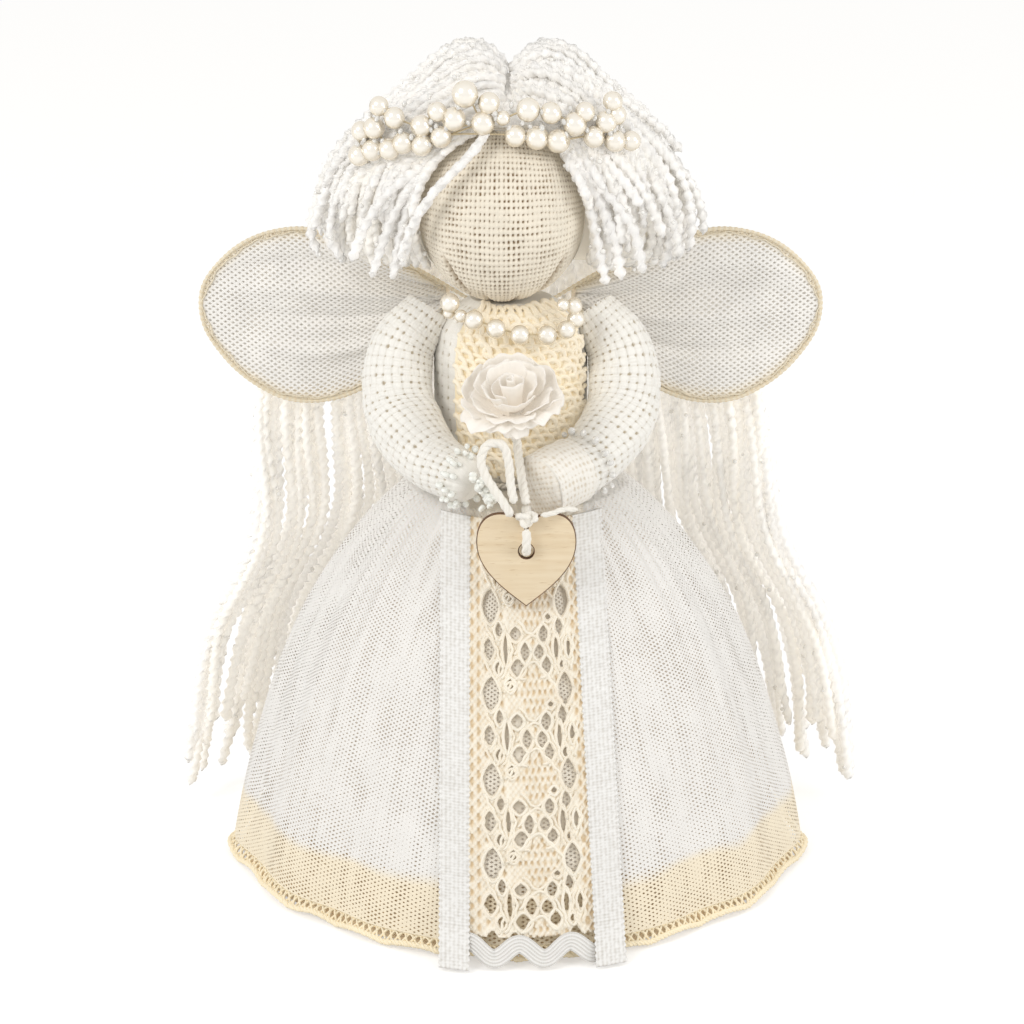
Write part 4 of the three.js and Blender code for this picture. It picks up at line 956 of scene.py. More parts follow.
def make_bodice():
    sides = 272
    angle = (even_turns(sides) + math.pi)[None]
    height = np.linspace(BODICE_FOOT, BODICE_TOP - 0.5, 124)[:, None]
    u = np.arange(sides)[None] / sides * BODICE_BLOCKS * BODICE_BLOCK
    relief, hole = block_weave(u, height, BODICE_BLOCK, 4, 31)
    rows = bodice_point(angle, height, relief * 0.55 - 0.75)
    cloth = Cloth()
    uv = round_uv(sides, BODICE_BLOCKS * BODICE_BLOCK, height)
    # Painted shade: the holes and the low parts of the threads go to the gap colour.
    cloth.add_grid(rows, True, uv, np.clip(hole + 0.35 * (1 - relief), 0, 1))
    close_end(cloth, rows[0], True)
    close_end(cloth, rows[-1], False)
    piece = cloth.piece("bodice_cloth", sleeve_cotton, ["bodice"], "cotton_weave")


YOKE_FOOT = 124.6
YOKE_ROWS = 20
YOKE_ROW_HEIGHT = 2.5
YOKE_LOOP_WIDTH = 3.3
YOKE_RADIUS = 22  # of the chest, for spacing the loops round it


def make_yoke():
    """Chunky cream lace over the chest: rows of looped thread on a tan ground."""
    angle, height = np.meshgrid(np.radians(np.linspace(-43, 57, 60)), np.linspace(123.5, 172.0, 42))
    ground = Cloth()
    ground.add_grid(bodice_point(angle, height, 0.95 + 0.12 * uneven(angle * 23, height, 2.2, 6)),
                    shade=0.3 + 0.3 * uneven(angle * 23, height, 3, 2))
    ground = ground.piece("yoke_ground", yoke_ground, ["bodice_lace"], "cream_lace")
    cloth = Cloth()
    turns = round(math.radians(99) * YOKE_RADIUS / YOKE_LOOP_WIDTH)
    t = np.linspace(0, turns, turns * 15)
    for row in range(YOKE_ROWS):
        wobble = 0.5 * uneven(t * 1.7, 0 * t + row * 5.3, 1.1, 40 + row)
        across = t + (row % 2) * 0.5 + 0.36 * np.sin(2 * math.pi * t) * (1 + wobble)
        up = YOKE_FOOT + row * YOKE_ROW_HEIGHT + 1.5 * np.cos(2 * math.pi * t) * (1 + wobble)
        angle = np.radians(-42.5) + across * YOKE_LOOP_WIDTH / YOKE_RADIUS
        outset = 1.15 + 0.4 * np.sin(2 * math.pi * t + 0.6) + 0.2 * wobble
        line = bodice_point(angle, up + 0.3 * uneven(t, 0 * t, 3, row), outset)
        rings = rings_along(line, 0.78 * (1 + 0.3 * wobble), xyz(np.sin(angle), -np.cos(angle), 0), 5)
        cloth.add_tube(rings, shade=np.repeat(np.clip(0.2 - 0.5 * wobble, 0, 0.6), 5))
    loops = cloth.piece("yoke_loops", yoke_cream, ["bodice_lace"], "cream_lace")


def arm_route(side):
    def x(span):
        return BODY_LEAN + side * span
    wrist = mix(10.0, 32.2, 0.58)
    return curve_through(((x(23.8), 0, 170), (x(32.2), -3.96, mix(170, 141, 0.42)), (x(32.2), -12, 141),
                          (x(wrist), -mix(12, 38, 0.54), mix(127.2, 141, 0.28)), (x(10), -38, 127.2)), 0.3)


def arm_frame(side, places):
    """Points down the middle of an arm at shares of its length, with the directions round it."""
    route = arm_route(side)
    total = length_of(route)
    places = np.asarray(places) * total
    line = respaced(route, places=places)
    along = unit(respaced(route, places=np.clip(places + 0.5, 0, total))
                 - respaced(route, places=np.clip(places - 0.5, 0, total)))
    return (line, along, *square_to(along, (side, 0.0, 0.35)))


SLEEVE_BLOCK = 2.65  # side of a woven block
SLEEVE_BLOCKS = 24
HAND_STARTS = 0.955  # share of the arm's length where its end rounds off, and how much is left from there
HAND_SHARE = 0.045


def make_arms():
    """Stuffed sleeves of cotton woven in blocks, with dents at the elbow and gathers at the wrist."""
    sides = 168
    turn = even_turns(sides)[None]
    for side, name in ((-1, "arm_left"), (1, "arm_right")):
        rounding = HAND_STARTS + HAND_SHARE * np.sin(np.linspace(0.1, math.pi / 2, 14))
        places = np.concatenate([np.linspace(0, HAND_STARTS, 216), rounding])
        total = length_of(arm_route(side))
        u = np.arange(sides)[None] / sides * SLEEVE_BLOCKS * SLEEVE_BLOCK
        v = (places * total)[:, None]
        relief, hole = block_weave(u, v, SLEEVE_BLOCK, 3, 50 + side)
        closed = smoothstep(v / total, 0.9, HAND_STARTS)
        relief, hole = mix(relief, 0.8, closed), hole * (1 - closed)
        base = ARM_RADIUS * read_table(ARM_WIDTH_SHARES, np.minimum(places, HAND_STARTS))
        tip = np.clip((places - HAND_STARTS) / HAND_SHARE, 0, 1)
        base = base * np.sqrt(np.clip(1 - tip ** 2, 0, 1))
        dents = 0.8 * uneven(u, v, 8, 60 + side) * np.exp(-((v / total - 0.45) / 0.25) ** 2)
        pinch = 0.35 * uneven(u * 2.5, v * 0.4, 3, 70 + side) * smoothstep(v / total, 0.78, 0.93)
        radius = base[:, None] + 0.75 * (relief - 0.85) + dents + pinch
        radius = np.maximum(radius * (tip < 0.999)[:, None], 0.02)
        line, _, first, second = arm_frame(side, places)
        points = line[:, None] + radius[..., None] * turned(first[:, None], second[:, None], turn)
        cloth = Cloth()
        # Painted shade: the holes and the low parts of the threads go to the gap colour.
        cloth.add_grid(points, True, round_uv(sides, SLEEVE_BLOCKS * SLEEVE_BLOCK, v),
                       np.clip(hole + 0.62 * (0.88 - relief), 0, 1))
        close_end(cloth, points[0], True)
        piece = cloth.piece(name + "_cloth", sleeve_cotton, [name], "cotton_weave")


CUFF_STARTS = 0.84  # share of the arm's length
CUFF_PAST_ARM = 2.3
CUFF_STITCH = 1.5


def make_cuff():
    """Turned-back cuff of ribbed knit with a rolled edge, its mouth closed by a tuck of the same knit."""
    sides, rows = 132, 46
    turn = even_turns(sides)[None]
    route = arm_route(1)
    total = length_of(route)
    past = route[-1] + unit(route[-1] - route[-3]) * np.arange(1, 13)[:, None] * 0.3
    line = respaced(np.concatenate([route, past]),
                    places=np.linspace(CUFF_STARTS * total, total + CUFF_PAST_ARM, rows))
    along = directions_of(line)
    first, second = square_to(along, (1.0, 0.0, 0.35))
    around = turned(first[:, None], second[:, None], turn)
    share = np.linspace(0, 1, rows)[:, None]
    base = ARM_RADIUS * read_table(ARM_WIDTH_SHARES, CUFF_STARTS) + 0.3
    hem = 0.25 * np.exp(-((share - 0.97) / 0.04) ** 2) + 0.2 * np.exp(-((share - 0.03) / 0.04) ** 2)
    relief, hole = block_weave(turn / (2 * math.pi) * 30 * CUFF_STITCH, share * 14, CUFF_STITCH, 2, 90)
    soft = 0.3 * uneven(turn * 8, share * 12, 6, 14)
    outer = line[:, None] + (base + 0.85 + 0.3 * relief + hem + soft)[..., None] * around
    inner = line[:, None] + (base + 0.1 + soft)[..., None] * around
    # Painted shade: the inner wall is darker, and so are the knit's holes and low stitches.
    shade = np.clip(np.concatenate([0.4 + 0 * relief, 0.5 * hole + 0.4 * (1 - relief)]), 0, 1)
    wall = np.concatenate([inner[::-1], outer, inner[-1:]])
    cloth = Cloth()
    cloth.add_grid(wall, True, shade=np.concatenate([shade, shade[:1]]))
    rim, middle = mix(inner[-2], outer[-2], 0.5), inner[-2].mean(axis=0)
    tuck = np.linspace(0, 0.985, 24)[:, None]
    u, v = np.cos(turn) * (1 - tuck) * 9, np.sin(turn) * (1 - tuck) * 9
    relief, hole = block_weave(u, v, CUFF_STITCH, 2, 91)
    dome = 2.6 * np.sqrt(1 - (1 - tuck) ** 2) + 0.3 * relief + 0.35 * uneven(u, v, 3.5, 15)
    # Painted shade on the tuck that closes the mouth: darker all over, and more in its holes and low
    # stitches.
    cloth.add_grid(mix(rim[None], middle, tuck[..., None]) + along[-2] * dome[..., None], True,
                   shade=np.clip(0.2 + 0.5 * hole + 0.5 * (1 - relief), 0, 1))
    piece = cloth.piece("cuff_right_knit", cuff_knit, ["cuff_right"], "cuff_knit")


def on_head(u, v, outset):
    """A place on the head at millimetres across and up from the middle of its front, as the cloth lies."""
    far = np.hypot(u, v)
    turn = far / HEAD_RADIUS
    side = np.where(far > 0, np.sin(turn) / np.maximum(far, 1e-9), 1 / HEAD_RADIUS)
    direction = xyz(u * side, -np.cos(turn), v * side)
    return HEAD_CENTRE + direction * (HEAD_HALF + np.asarray(outset)[..., None])


def crease(u, v, low, high, wide):
    """How deep a soft gather runs along the line between two places, from 0 to 1."""
    (x0, y0), (x1, y1) = low, high
    share = np.clip(((u - x0) * (x1 - x0) + (v - y0) * (y1 - y0)) / ((x1 - x0) ** 2 + (y1 - y0) ** 2), 0, 1)
    away = np.hypot(u - mix(x0, x1, share), v - mix(y0, y1, share))
    return np.exp(-(away / wide) ** 2) * np.sin(math.pi * np.clip(share, 0.04, 0.96)) ** 0.6


FRONT_REACH = 42.0  # how far from the middle of the front the threads are modelled
BACK_REACH = 76.8
WARP, WEFT = 1.45, 1.95  # from thread to thread
# Gathers in the linen: depth, lower and upper end, and width
HEAD_GATHERS = ((2.3, (-12.0, -27.0), (-19.8, -10.5), 1.0), (2.3, (12.5, -34.0), (23.0, -11.0), 1.2),
                (0.8, (-3.5, -36.0), (-7.0, -24.0), 1.2), (0.8, (4.0, -36.0), (6.5, -25.0), 1.2))


def make_head():
    """Coarse linen over the ball with gathers that run down to the neck, and a smooth back under the hair."""
    steps = np.arange(-FRONT_REACH, FRONT_REACH, 0.31)
    u, v = np.meshgrid(steps, steps)
    relief, hole = plain_weave(u, v, WARP, WEFT, 17)
    hole = hole * np.clip(0.8 + 0.75 * uneven(u, v, 5, 61), 0.1, 1.25)
    hole = hole * (1 - 0.45 * smoothstep(np.hypot(u, v), 18, 32))
    gathers = sum(depth * crease(u, v, low, high, wide) for depth, low, high, wide in HEAD_GATHERS)
    outset = 0.95 * (relief - 0.9) - gathers + 0.15 * uneven(u, v, 15, 11)
    keep = np.hypot(u, v)[:-1, :-1] < FRONT_REACH - 1
    # Painted shade: the holes go dark brown, and the low parts of the threads and the gathers are darker.
    shade = np.clip(hole + 0.8 * (0.74 - relief) + 0.5 * gathers, 0, 1)
    cloth = Cloth()
    cloth.add_grid(on_head(u, v, outset), uv=np.stack([u, v], -1), shade=shade, keep=keep)
    around = np.linspace(0, 2 * math.pi, 97)[:-1]
    back = np.linspace(BACK_REACH, FRONT_REACH - 3.5, 22)[:, None]
    bu, bv = back * np.cos(around), back * np.sin(around)
    cloth.add_grid(on_head(bu, bv, -0.55 + 0 * bu)[:, ::-1], True, shade=0.15)
    piece = cloth.piece("head_linen_weave", head_linen, ["head_linen"], "linen")


make_bodice()
make_yoke()
make_arms()
make_cuff()
make_head()


# Hair
CROWN_LINE = np.array((
    (-52, -6, 215), (-46, -9.2, 218), (-41, -11.4, 222.5), (-35, -13.4, 225), (-28, -15.8, 225),
    (-22, -17.3, 227.5), (-15, -18.4, 232), (-8, -18.9, 231), (-2, -19, 228), (3, -18.5, 228.5),
    (9, -17.7, 227.5), (16, -16.2, 227.5), (21, -14.8, 227.5), (27, -12.6, 228), (33, -10.4, 223),
    (38, -7, 220)))
CROWN_HOLD = 6.0  # how near the crown's line hair is pressed in fully, and where it is free of it
CROWN_EASE = 14.0
CROWN_DENT = 3.6
LOBE_BOW = 1.5
LOBE_SINK = 5.2  # how far the strands lie inside the lobe's outline
# Width of the hair at heights, as a share of the lobes' own
LOBE_WIDTH_SHARES = (
    (182, 1.16), (190, 1.12), (200, 1.04), (210, 0.96), (220, 0.85), (226, 0.77), (232, 0.68), (238, 0.6),
    (246, 0.56))
YARN_TURN = 7.2  # length in which the flat yarn turns once
YARN_FLAT = 0.64


def make_yarn(name, through):
    """Glossy translucent yarn of two plies: the twist is in the mesh, fine filaments lie along it, and a
    faint glow stands for the light that passes through it."""
    finish = Finish(name, Roughness=0.45, Specular_IOR_Level=0.5, **glow(through, (1.0, 0.97, 0.91)))
    filament = finish.noise(1.0, 2.0, finish.stretched(finish.uv(), (26.0, 1.1, 1.0)))
    white = finish.tones(finish.noise(240.0), 0.35, 0.7, (0.93, 0.915, 0.895), (0.9, 0.88, 0.85))
    # The piece's shade takes the yarn to cream: painted shade for the strands that lie deeper and for the
    # core.
    finish.colour(finish.blend(finish.shade(), white, (0.95, 0.89, 0.77)))
    finish.bump(filament, 0.00012, 0.6)
    return finish.material


def make_glass(name, colour, roughness, clear):
    finish = Finish(name, Roughness=roughness, Transmission_Weight=clear, IOR=1.46, Coat_Weight=0.4)
    finish.colour(finish.tones(finish.noise(900.0), 0.3, 0.7, colour, tuple(c * 0.9 for c in colour)))
    finish.bump(finish.noise(1600.0, 2.0), 0.00002)
    return finish.material


yarn, long_yarn = make_yarn("yarn", 0.09), make_yarn("long_yarn", 0.2)
glint = make_glass("glint", (0.97, 0.955, 0.92), 0.05, 0.0)


def add_strand(cloth, line, away, radius, rng, sides=6, spacing=0.72, shade=0.0):
    """One length of yarn along a line. Its flat cross-section turns, which gives its beaded outline."""
    total = length_of(line)
    count = max(6, round(total / spacing))
    along = np.linspace(0, total, count + 1)
    away = read_along(away, lengths_along(line), along)
    line = respaced(line, places=along)
    first, second = square_to(directions_of(line), away)
    turn = 2 * math.pi * along / (YARN_TURN * rng.uniform(0.92, 1.1)) + rng.uniform(0, 6.28)
    turn = turn + 0.5 * np.sin(along / rng.uniform(5, 9))
    facing = turned(first, second, turn)
    ends = np.minimum(along, total - along)
    swell = 0.84 + 0.26 * np.abs(np.sin(turn + 0.5)) + 0.08 * np.sin(along / 4.1 + rng.uniform(0, 6))
    width = radius * swell * np.sqrt(np.clip(ends / 1.6, 0.06, 1))
    rings = rings_along(line, width, facing, sides, YARN_FLAT)
    cloth.add_tube(rings, shade=np.clip(shade, 0, 1), length=total)
    return line, facing, width


# A glint is a bead with 12 corners and 20 faces
GOLDEN = (1 + math.sqrt(5)) / 2
GLINT_POINTS = unit(np.array([np.roll((s, t * GOLDEN, 0), k)
                              for k in range(3) for s in (-1, 1) for t in (-1, 1)]))
GLINT_EDGE = 1.06  # just over the distance between neighbouring corners


def hull_faces(points):
    """The faces of the small bead's solid, facing out."""
    faces = []
    for i, j, k in itertools.combinations(range(len(points)), 3):
        a, b, c = points[[i, j, k]]
        if max(np.linalg.norm(a - b), np.linalg.norm(b - c), np.linalg.norm(c - a)) < GLINT_EDGE:
            faces.append((i, j, k) if np.dot(np.cross(b - a, c - a), a) > 0 else (i, k, j))
    return np.array(faces)


GLINT_FACES = hull_faces(GLINT_POINTS)


def add_glints(cloth, strand, rng, chance):
    line, facing, width = strand
    spots = np.arange(3, len(line) - 1, 5)
    spots = spots[rng.random(len(spots)) < chance]
    for spot in spots:
        sideways = facing[spot] * YARN_FLAT + rng.uniform(-0.5, 0.5, 3)
        middle = line[spot] + unit(sideways) * width[spot] * rng.uniform(0.7, 1.0)
        cloth.add(middle + GLINT_POINTS * rng.uniform(0.55, 0.9), GLINT_FACES)


def behind_crown(points):
    """Presses hair back where the crown lies on it."""
    x, y, z = points[..., 0], points[..., 1], points[..., 2]
    line_y, line_z = (np.interp(x, CROWN_LINE[:, 0], CROWN_LINE[:, k]) for k in (1, 2))
    hold = 1 - smoothstep(np.abs(z - line_z), CROWN_HOLD, CROWN_EASE)
    push = np.where(y < 4, np.maximum(line_y + CROWN_DENT - y, 0), 0) * hold
    return points + xyz(0 * push, push, 0 * push)


def clear_of_face(points, gap):
    """Moves hair out of the head, and from in front of the face to beside it."""
    off = points - HEAD_CENTRE
    reach = HEAD_HALF + gap
    inside = np.linalg.norm(off / reach, axis=-1)
    off = off / np.minimum(np.maximum(inside, 1e-6), 1)[..., None]
    front = np.hypot(off[..., 0] / reach[0], off[..., 2] / reach[2])
    grow = np.where(off[..., 1] < 0, 1 / np.minimum(np.maximum(front, 1e-6), 1), 1)
    return HEAD_CENTRE + off * xyz(grow, 1 + 0 * grow, grow)


def over_lobe(start, through, end, share):
    """A path on the unit ball from one direction to another that bows out through a third."""
    share = np.asarray(share)[:, None]
    return unit((1 - share) ** 2 * start + 2 * share * (1 - share) * LOBE_BOW * through + share ** 2 * end)


def bell_shape(points):
    """Draws the hair in over the crown of the head and lets it flare below."""
    height = points[..., 2]
    wide = read_table(LOBE_WIDTH_SHARES, height)[..., None]
    middle = np.array((PARTING_X, LOBE_BACK, 0.0))
    keep = xyz(1.0, 0.5, 0.0)
    return points + (points - middle) * (wide - 1) * keep


def lobe_centre(side):
    return np.array((PARTING_X + side * LOBE_OFFSET, LOBE_BACK, LOBE_HEIGHT))


def lobe_strand(side, place, end, lift, loose, rng):
    """A length of yarn from the parting over a lobe to its rim. place runs from the front to the back."""
    over = math.radians(mix(26, 172, place ** 0.9))
    cut = LOBE_OFFSET / LOBE_HALF[0]
    high = math.sqrt(1 - cut * cut)
    start = np.array((-side * cut, -math.cos(over) * high, math.sin(over) * high))
    low = (LOBE_FOOT - LOBE_HEIGHT) / LOBE_HALF[2]
    wide = math.sqrt(1 - low * low)
    round_it = math.radians(mix(-8, 250, place))
    finish_at = np.array((side * wide * math.sin(round_it), -wide * math.cos(round_it), low))
    bow_at = math.radians(mix(6, 216, place))
    through = unit(np.array((side * math.sin(bow_at), -math.cos(bow_at), 0.42)))
    share = np.linspace(0, end, 46)
    normal = over_lobe(start, through, finish_at, share)
    wave = (1.3 + 2.4 * loose) * np.sin(share * rng.uniform(5, 9) + rng.uniform(0, 6.3)) * share
    sideways = unit(np.cross(normal, np.gradient(normal, axis=0)))
    roll = (0.5 + 0.7 * loose) * np.sin(share * rng.uniform(8, 15) + rng.uniform(0, 6.3))
    depth = lift - LOBE_SINK + roll + 0.8 * share + loose * rng.uniform(0, 5) * (share / end) ** 4
    points = bell_shape(lobe_centre(side) + normal * (LOBE_HALF + depth[:, None]) + sideways * wave[:, None])
    points[:, 0] = side * np.maximum(side * (points[:, 0] - PARTING_X), 0.5) + PARTING_X
    return clear_of_face(behind_crown(points), 1.6), normal


def add_lobe_core(cloth, side):
    """The dense hair under the strands, which hides the head behind them."""
    turn, climb = np.meshgrid(np.linspace(0, 2 * math.pi, 65)[:-1], np.linspace(0.02, math.pi - 0.02, 34))
    ball = xyz(np.sin(climb) * np.cos(turn), np.sin(climb) * np.sin(turn), -np.cos(climb))
    core = lobe_centre(side) + ball * (LOBE_HALF - LOBE_SINK - 0.6)
    core[..., 0] = side * np.maximum(side * (core[..., 0] - PARTING_X), 0.03) + PARTING_X
    core[..., 2] = np.maximum(core[..., 2], LOBE_FOOT + 3)
    core = clear_of_face(behind_crown(bell_shape(core)), 0.4)
    core[..., 1] = np.maximum(core[..., 1], np.interp(core[..., 2], (224, 236), (-3.0, -20.0)))
    # Painted shade: the core under the strands takes the full cream.
    cloth.add_tube(core, shade=1.0)


# Layers of a lobe from the inside out: lift, strands, shares of the way where they end, painted shade and
# looseness
LOBE_LAYERS = ((0.0, 44, (0.97, 1.06), 0.4, 0.0), (1.2, 38, (0.88, 1.04), 0.25, 0.25),
               (2.3, 34, (0.74, 1.0), 0.1, 0.6), (3.2, 34, (0.5, 0.98), 0.0, 1.0))


def make_lobe(side, word):
    """Hair on one side of the parting, with two strands that lie along the parting itself."""
    rng = np.random.default_rng(100 + side)
    cloth, glints = Cloth(), Cloth()
    add_lobe_core(cloth, side)
    for lift, count, ends, shade, loose in LOBE_LAYERS:
        for k in range(count):
            place = (k + rng.uniform(0.2, 0.8)) / count
            end, height = rng.uniform(*ends), lift + rng.uniform(-0.3, 0.3)
            points, normal = lobe_strand(side, place, end, height, loose, rng)
            strand = add_strand(cloth, points, normal, rng.uniform(1.5, 1.85), rng, 5, 0.76,
                                shade + rng.uniform(-0.1, 0.1))
            add_glints(glints, strand, rng, 0.26)
    over = np.linspace(-0.4, 3.3, 60)
    for place in (0.6, 2.4):
        line = xyz(PARTING_X + side * place + 0.3 * np.sin(9 * over), LOBE_BACK - 16.5 * np.cos(over),
                   LOBE_HEIGHT + 24.5 * np.sin(over))
        line = behind_crown(line[line[:, 2] > np.where(line[:, 1] < LOBE_BACK, 222, 196)])
        add_strand(cloth, line, line - lobe_centre(side), 1.9, rng, shade=0.1)
    hair_pieces(f"hair_lobe_{word}", cloth, glints)


def hair_pieces(name, cloth, glints):
    cloth.piece(name + "_strands", yarn, [name], "yarn")
    glints.piece(name + "_glints", glint, (), "seed_bead")


def on_head_side(side, across, height, outset):
    depth = math.sqrt(max(1 - across ** 2 - height ** 2, 0.2))
    return HEAD_CENTRE + np.array((across * side, -depth, height)) * (HEAD_HALF + 2.3 + outset)


BROW_LOCK = ((-9.2, -18, 225.6), (-12.6, -22.5, 221.7), (-16, -25, 218.3), (-20.3, -26, 214.2),
             (-24.3, -26, 209.8), (-29.3, -23.5, 201.9), (-32.6, -20, 193), (-33.6, -17, 186.4))
BROW_LOCK_TURN = 15
# Routes of the other locks: places across and up as shares of the head's half sizes, and how far off it
CHEEK_LOCKS = {
    -1: (((0.62, 0.72, 0.6), (0.86, 0.4, 1.6), (1.0, -0.06, 2.4), (1.02, -0.5, 4.5)),
         ((0.72, 0.66, -0.6), (0.94, 0.26, 3.2), (1.08, -0.1, 4.6), (1.14, -0.45, 6.5)),
         ((0.8, 0.58, 1.0), (1.02, 0.3, 5.0), (1.16, 0.0, 7.4), (1.22, -0.28, 9.0))),
    1: (((0.66, 0.68, 0.8), (0.9, 0.3, 0.6), (0.99, -0.06, 0.8), (0.99, -0.56, 4.0)),
        ((0.74, 0.62, 0.8), (0.98, 0.24, 2.0), (1.08, -0.1, 3.4), (1.1, -0.5, 5.0)),
        ((0.84, 0.52, 1.8), (1.04, 0.2, 4.6), (1.16, -0.06, 6.4), (1.2, -0.4, 7.5)))}


def make_forelocks():
    """Loose yarn beside the face, from under the crown down by the cheek. On the left two strands wound round
    each other cross the brow's corner first."""
    rng = np.random.default_rng(7)
    for side, word in ((-1, "left"), (1, "right")):
        cloth, glints = Cloth(), Cloth()
        if side < 0:
            line = curve_through(BROW_LOCK, 0.5)
            turn = 2 * math.pi * np.arange(len(line)) * 0.5 / BROW_LOCK_TURN
            wind = xyz(np.cos(turn) * 0.8, np.sin(turn), np.cos(turn) * 0.6)
            add_strand(cloth, line + wind, line - HEAD_CENTRE, 1.5, rng)
            strand = add_strand(cloth, line - wind, line - wind - HEAD_CENTRE, 1.5, rng)
            add_glints(glints, strand, rng, 0.2)
        for route in CHEEK_LOCKS[side]:
            line = behind_crown(curve_through([on_head_side(side, *spot) for spot in route], 0.5))
            add_glints(glints, add_strand(cloth, line, line - HEAD_CENTRE, 1.7, rng), rng, 0.2)
        hair_pieces(f"forelock_{word}", cloth, glints)


def long_strand(spread, deep, end, rng):
    """A length of yarn down the back, at spread from -1 to 1 across it and deep away from the skirt."""
    turn = math.pi - math.radians(70) * spread
    off = 3.8 + 18 * abs(spread) + deep

    def on_skirt(height, puff=0.0):
        return skirt_point(np.array(turn), height, -off - puff * abs(spread))

    points = [np.array((PARTING_X + spread * 27, LOBE_BACK + LOBE_HALF[1] * 0.78 + deep * 0.3, 200.0)),
              np.array((PARTING_X + spread * 40, 34 + deep * 0.6, 173.0)),
              np.array((PARTING_X + spread * 71, 33 + deep, 141.0)),
              on_skirt(SKIRT_HEIGHT * 0.78, 10), on_skirt(SKIRT_HEIGHT * 0.5, 8), on_skirt(end)]
    line = curve_through(points, 1.2)
    share = np.linspace(0, 1, len(line))
    outward = unit(line * (1, 1, 0))
    sideways = np.cross(outward, (0, 0, 1))
    wander = share * (2.6 * np.sin(share * rng.uniform(9, 16) + rng.uniform(0, 6.3))
                      + 2.0 * np.sin(share * rng.uniform(3, 5) + rng.uniform(0, 6.3)))
    roll = 0.8 * np.sin(share * rng.uniform(8, 14) + rng.uniform(0, 6.3)) * share
    return line + sideways * wander[:, None] + outward * roll[:, None], outward


LONG_LOCKS = ((0.14, 12), (0.42, 13), (0.7, 16), (0.98, 17))  # middle of each lock's spread, and its strands


def make_long_hair():
    """Long locks down the back: they pass behind the wings, fan out and hang clear of the skirt."""
    for side, word in ((-1, "left"), (1, "right")):
        rng = np.random.default_rng(200 + side)
        glints = Cloth()
        for number, (middle, count) in enumerate(LONG_LOCKS, 1):
            cloth = Cloth()
            for k in range(count):
                spread = min(middle + mix(-0.14, 0.14, (k + 0.5) / count) + rng.uniform(-0.02, 0.02), 1.03)
                deep = (k % 3 - 1) * 2.1 + rng.uniform(-0.6, 0.6)
                end = rng.uniform(7, 32) if middle > 0.6 else rng.uniform(8, 30)
                line, outward = long_strand(side * max(spread, 0.012), deep, end, rng)
                # Painted shade: strands that lie deeper, nearer the skirt, are darker.
                shade = 0.0 if deep > 1 else 0.15 if deep > -1 else 0.3
                strand = add_strand(cloth, line, outward, rng.uniform(1.6, 2.0), rng, 5, 0.92,
                                    shade + rng.uniform(-0.1, 0.1))
                add_glints(glints, strand, rng, 0.12)
            name = f"hair_long_{word}_{number}"
            cloth.piece(name + "_strands", long_yarn, [name], "yarn")
        glints.piece(f"hair_long_{word}_glints", glint, (), "seed_bead")


for lobe_side, lobe_word in ((-1, "left"), (1, "right")):
    make_lobe(lobe_side, lobe_word)
make_forelocks()
make_long_hair()


# Pearls and beads
# Middles and radii of the pearls, and ends of the cluster of beads at the left hand
CROWN_PEARLS = (
    (-15.2, -18.4, 237.1, 3.99), (-8.4, -18.9, 234.6, 3.25), (-10.1, -18.9, 228.8, 3.55),
    (-18.4, -18, 229.8, 3.55), (-23.2, -17, 231.7, 2.96), (-27.8, -15.9, 227.4, 3.25),
    (-35.6, -13.5, 229.3, 3.25), (-40, -11.8, 232.4, 2.96), (-41.5, -11.2, 225.9, 3.25),
    (-45.3, -9.5, 224.7, 2.96), (-46, -9.2, 217.6, 3.25), (-42.1, -10.9, 219.4, 3.25),
    (-37.2, -12.9, 220.1, 3.25), (-33.1, -14.4, 222.2, 3.25), (-27.6, -16, 221.9, 3.25),
    (-22.1, -17.3, 224.5, 3.25), (-4.4, -19, 230.3, 2.22), (2.8, -18.6, 232.6, 3.55),
    (9.3, -17.7, 231.5, 3.25), (-0.9, -18.9, 225.1, 3.25), (5.3, -18.3, 224.4, 3.55),
    (11.4, -17.3, 223.3, 3.55), (16.2, -16.2, 228, 3.55), (19.1, -15.4, 231.4, 2.96),
    (21.7, -14.6, 224, 3.25), (25.2, -13.5, 228.1, 3.25), (27.8, -12.5, 222.4, 3.25),
    (28.3, -12.2, 229.9, 2.96), (27.1, -12.7, 234, 2.96), (32.5, -10.5, 222, 2.96))
NECKLACE_PEARLS = (
    (-19.8, -17, 175.6, 2.94), (-20.1, -16.8, 172.6, 1.76), (-16.6, -19.3, 172.3, 1.91),
    (-12.8, -21.4, 171.6, 2.94), (-6.4, -23.5, 169.5, 2.94), (0.5, -23.9, 167.8, 2.94),
    (8.3, -21.8, 167.2, 2.94), (13.9, -18.7, 168, 2.79), (16.8, -16.5, 170.7, 2.65),
    (16.2, -17, 174.7, 2.5), (13, -19.3, 175.6, 1.91))
HAND_BEADS = np.array(((-11.8, -43.0, 130.3), (-6.5, -42.0, 122.0)))
LOW_PEARL_TOP = 226.0  # pearls with their middle under this height stand for the frame's low row
LOW_PEARLS = [spot for spot in CROWN_PEARLS if spot[2] < LOW_PEARL_TOP]
HIGH_PEARLS = [spot for spot in CROWN_PEARLS if spot[2] >= LOW_PEARL_TOP]


def make_pearl_finish():
    finish = Finish("pearl", Roughness=0.25, Metallic=0.3, Coat_Weight=1.0, Coat_Roughness=0.04, Coat_IOR=2.0,
                    Specular_IOR_Level=0.7)
    nacre = finish.tones(finish.noise(160.0, 3.0), 0.3, 0.7, (0.9, 0.86, 0.785), (0.87, 0.815, 0.72))
    # Painted shade: the pearl's colour goes to a darker gold towards its rim, as the surface turns away from
    # the view.
    facing = finish.node("ShaderNodeLayerWeight", {"Blend": 0.44}).outputs["Facing"]
    finish.colour(finish.blend(facing, nacre, (0.74, 0.62, 0.42)))
    finish.bump(finish.noise(700.0), 0.00003)
    return finish.material


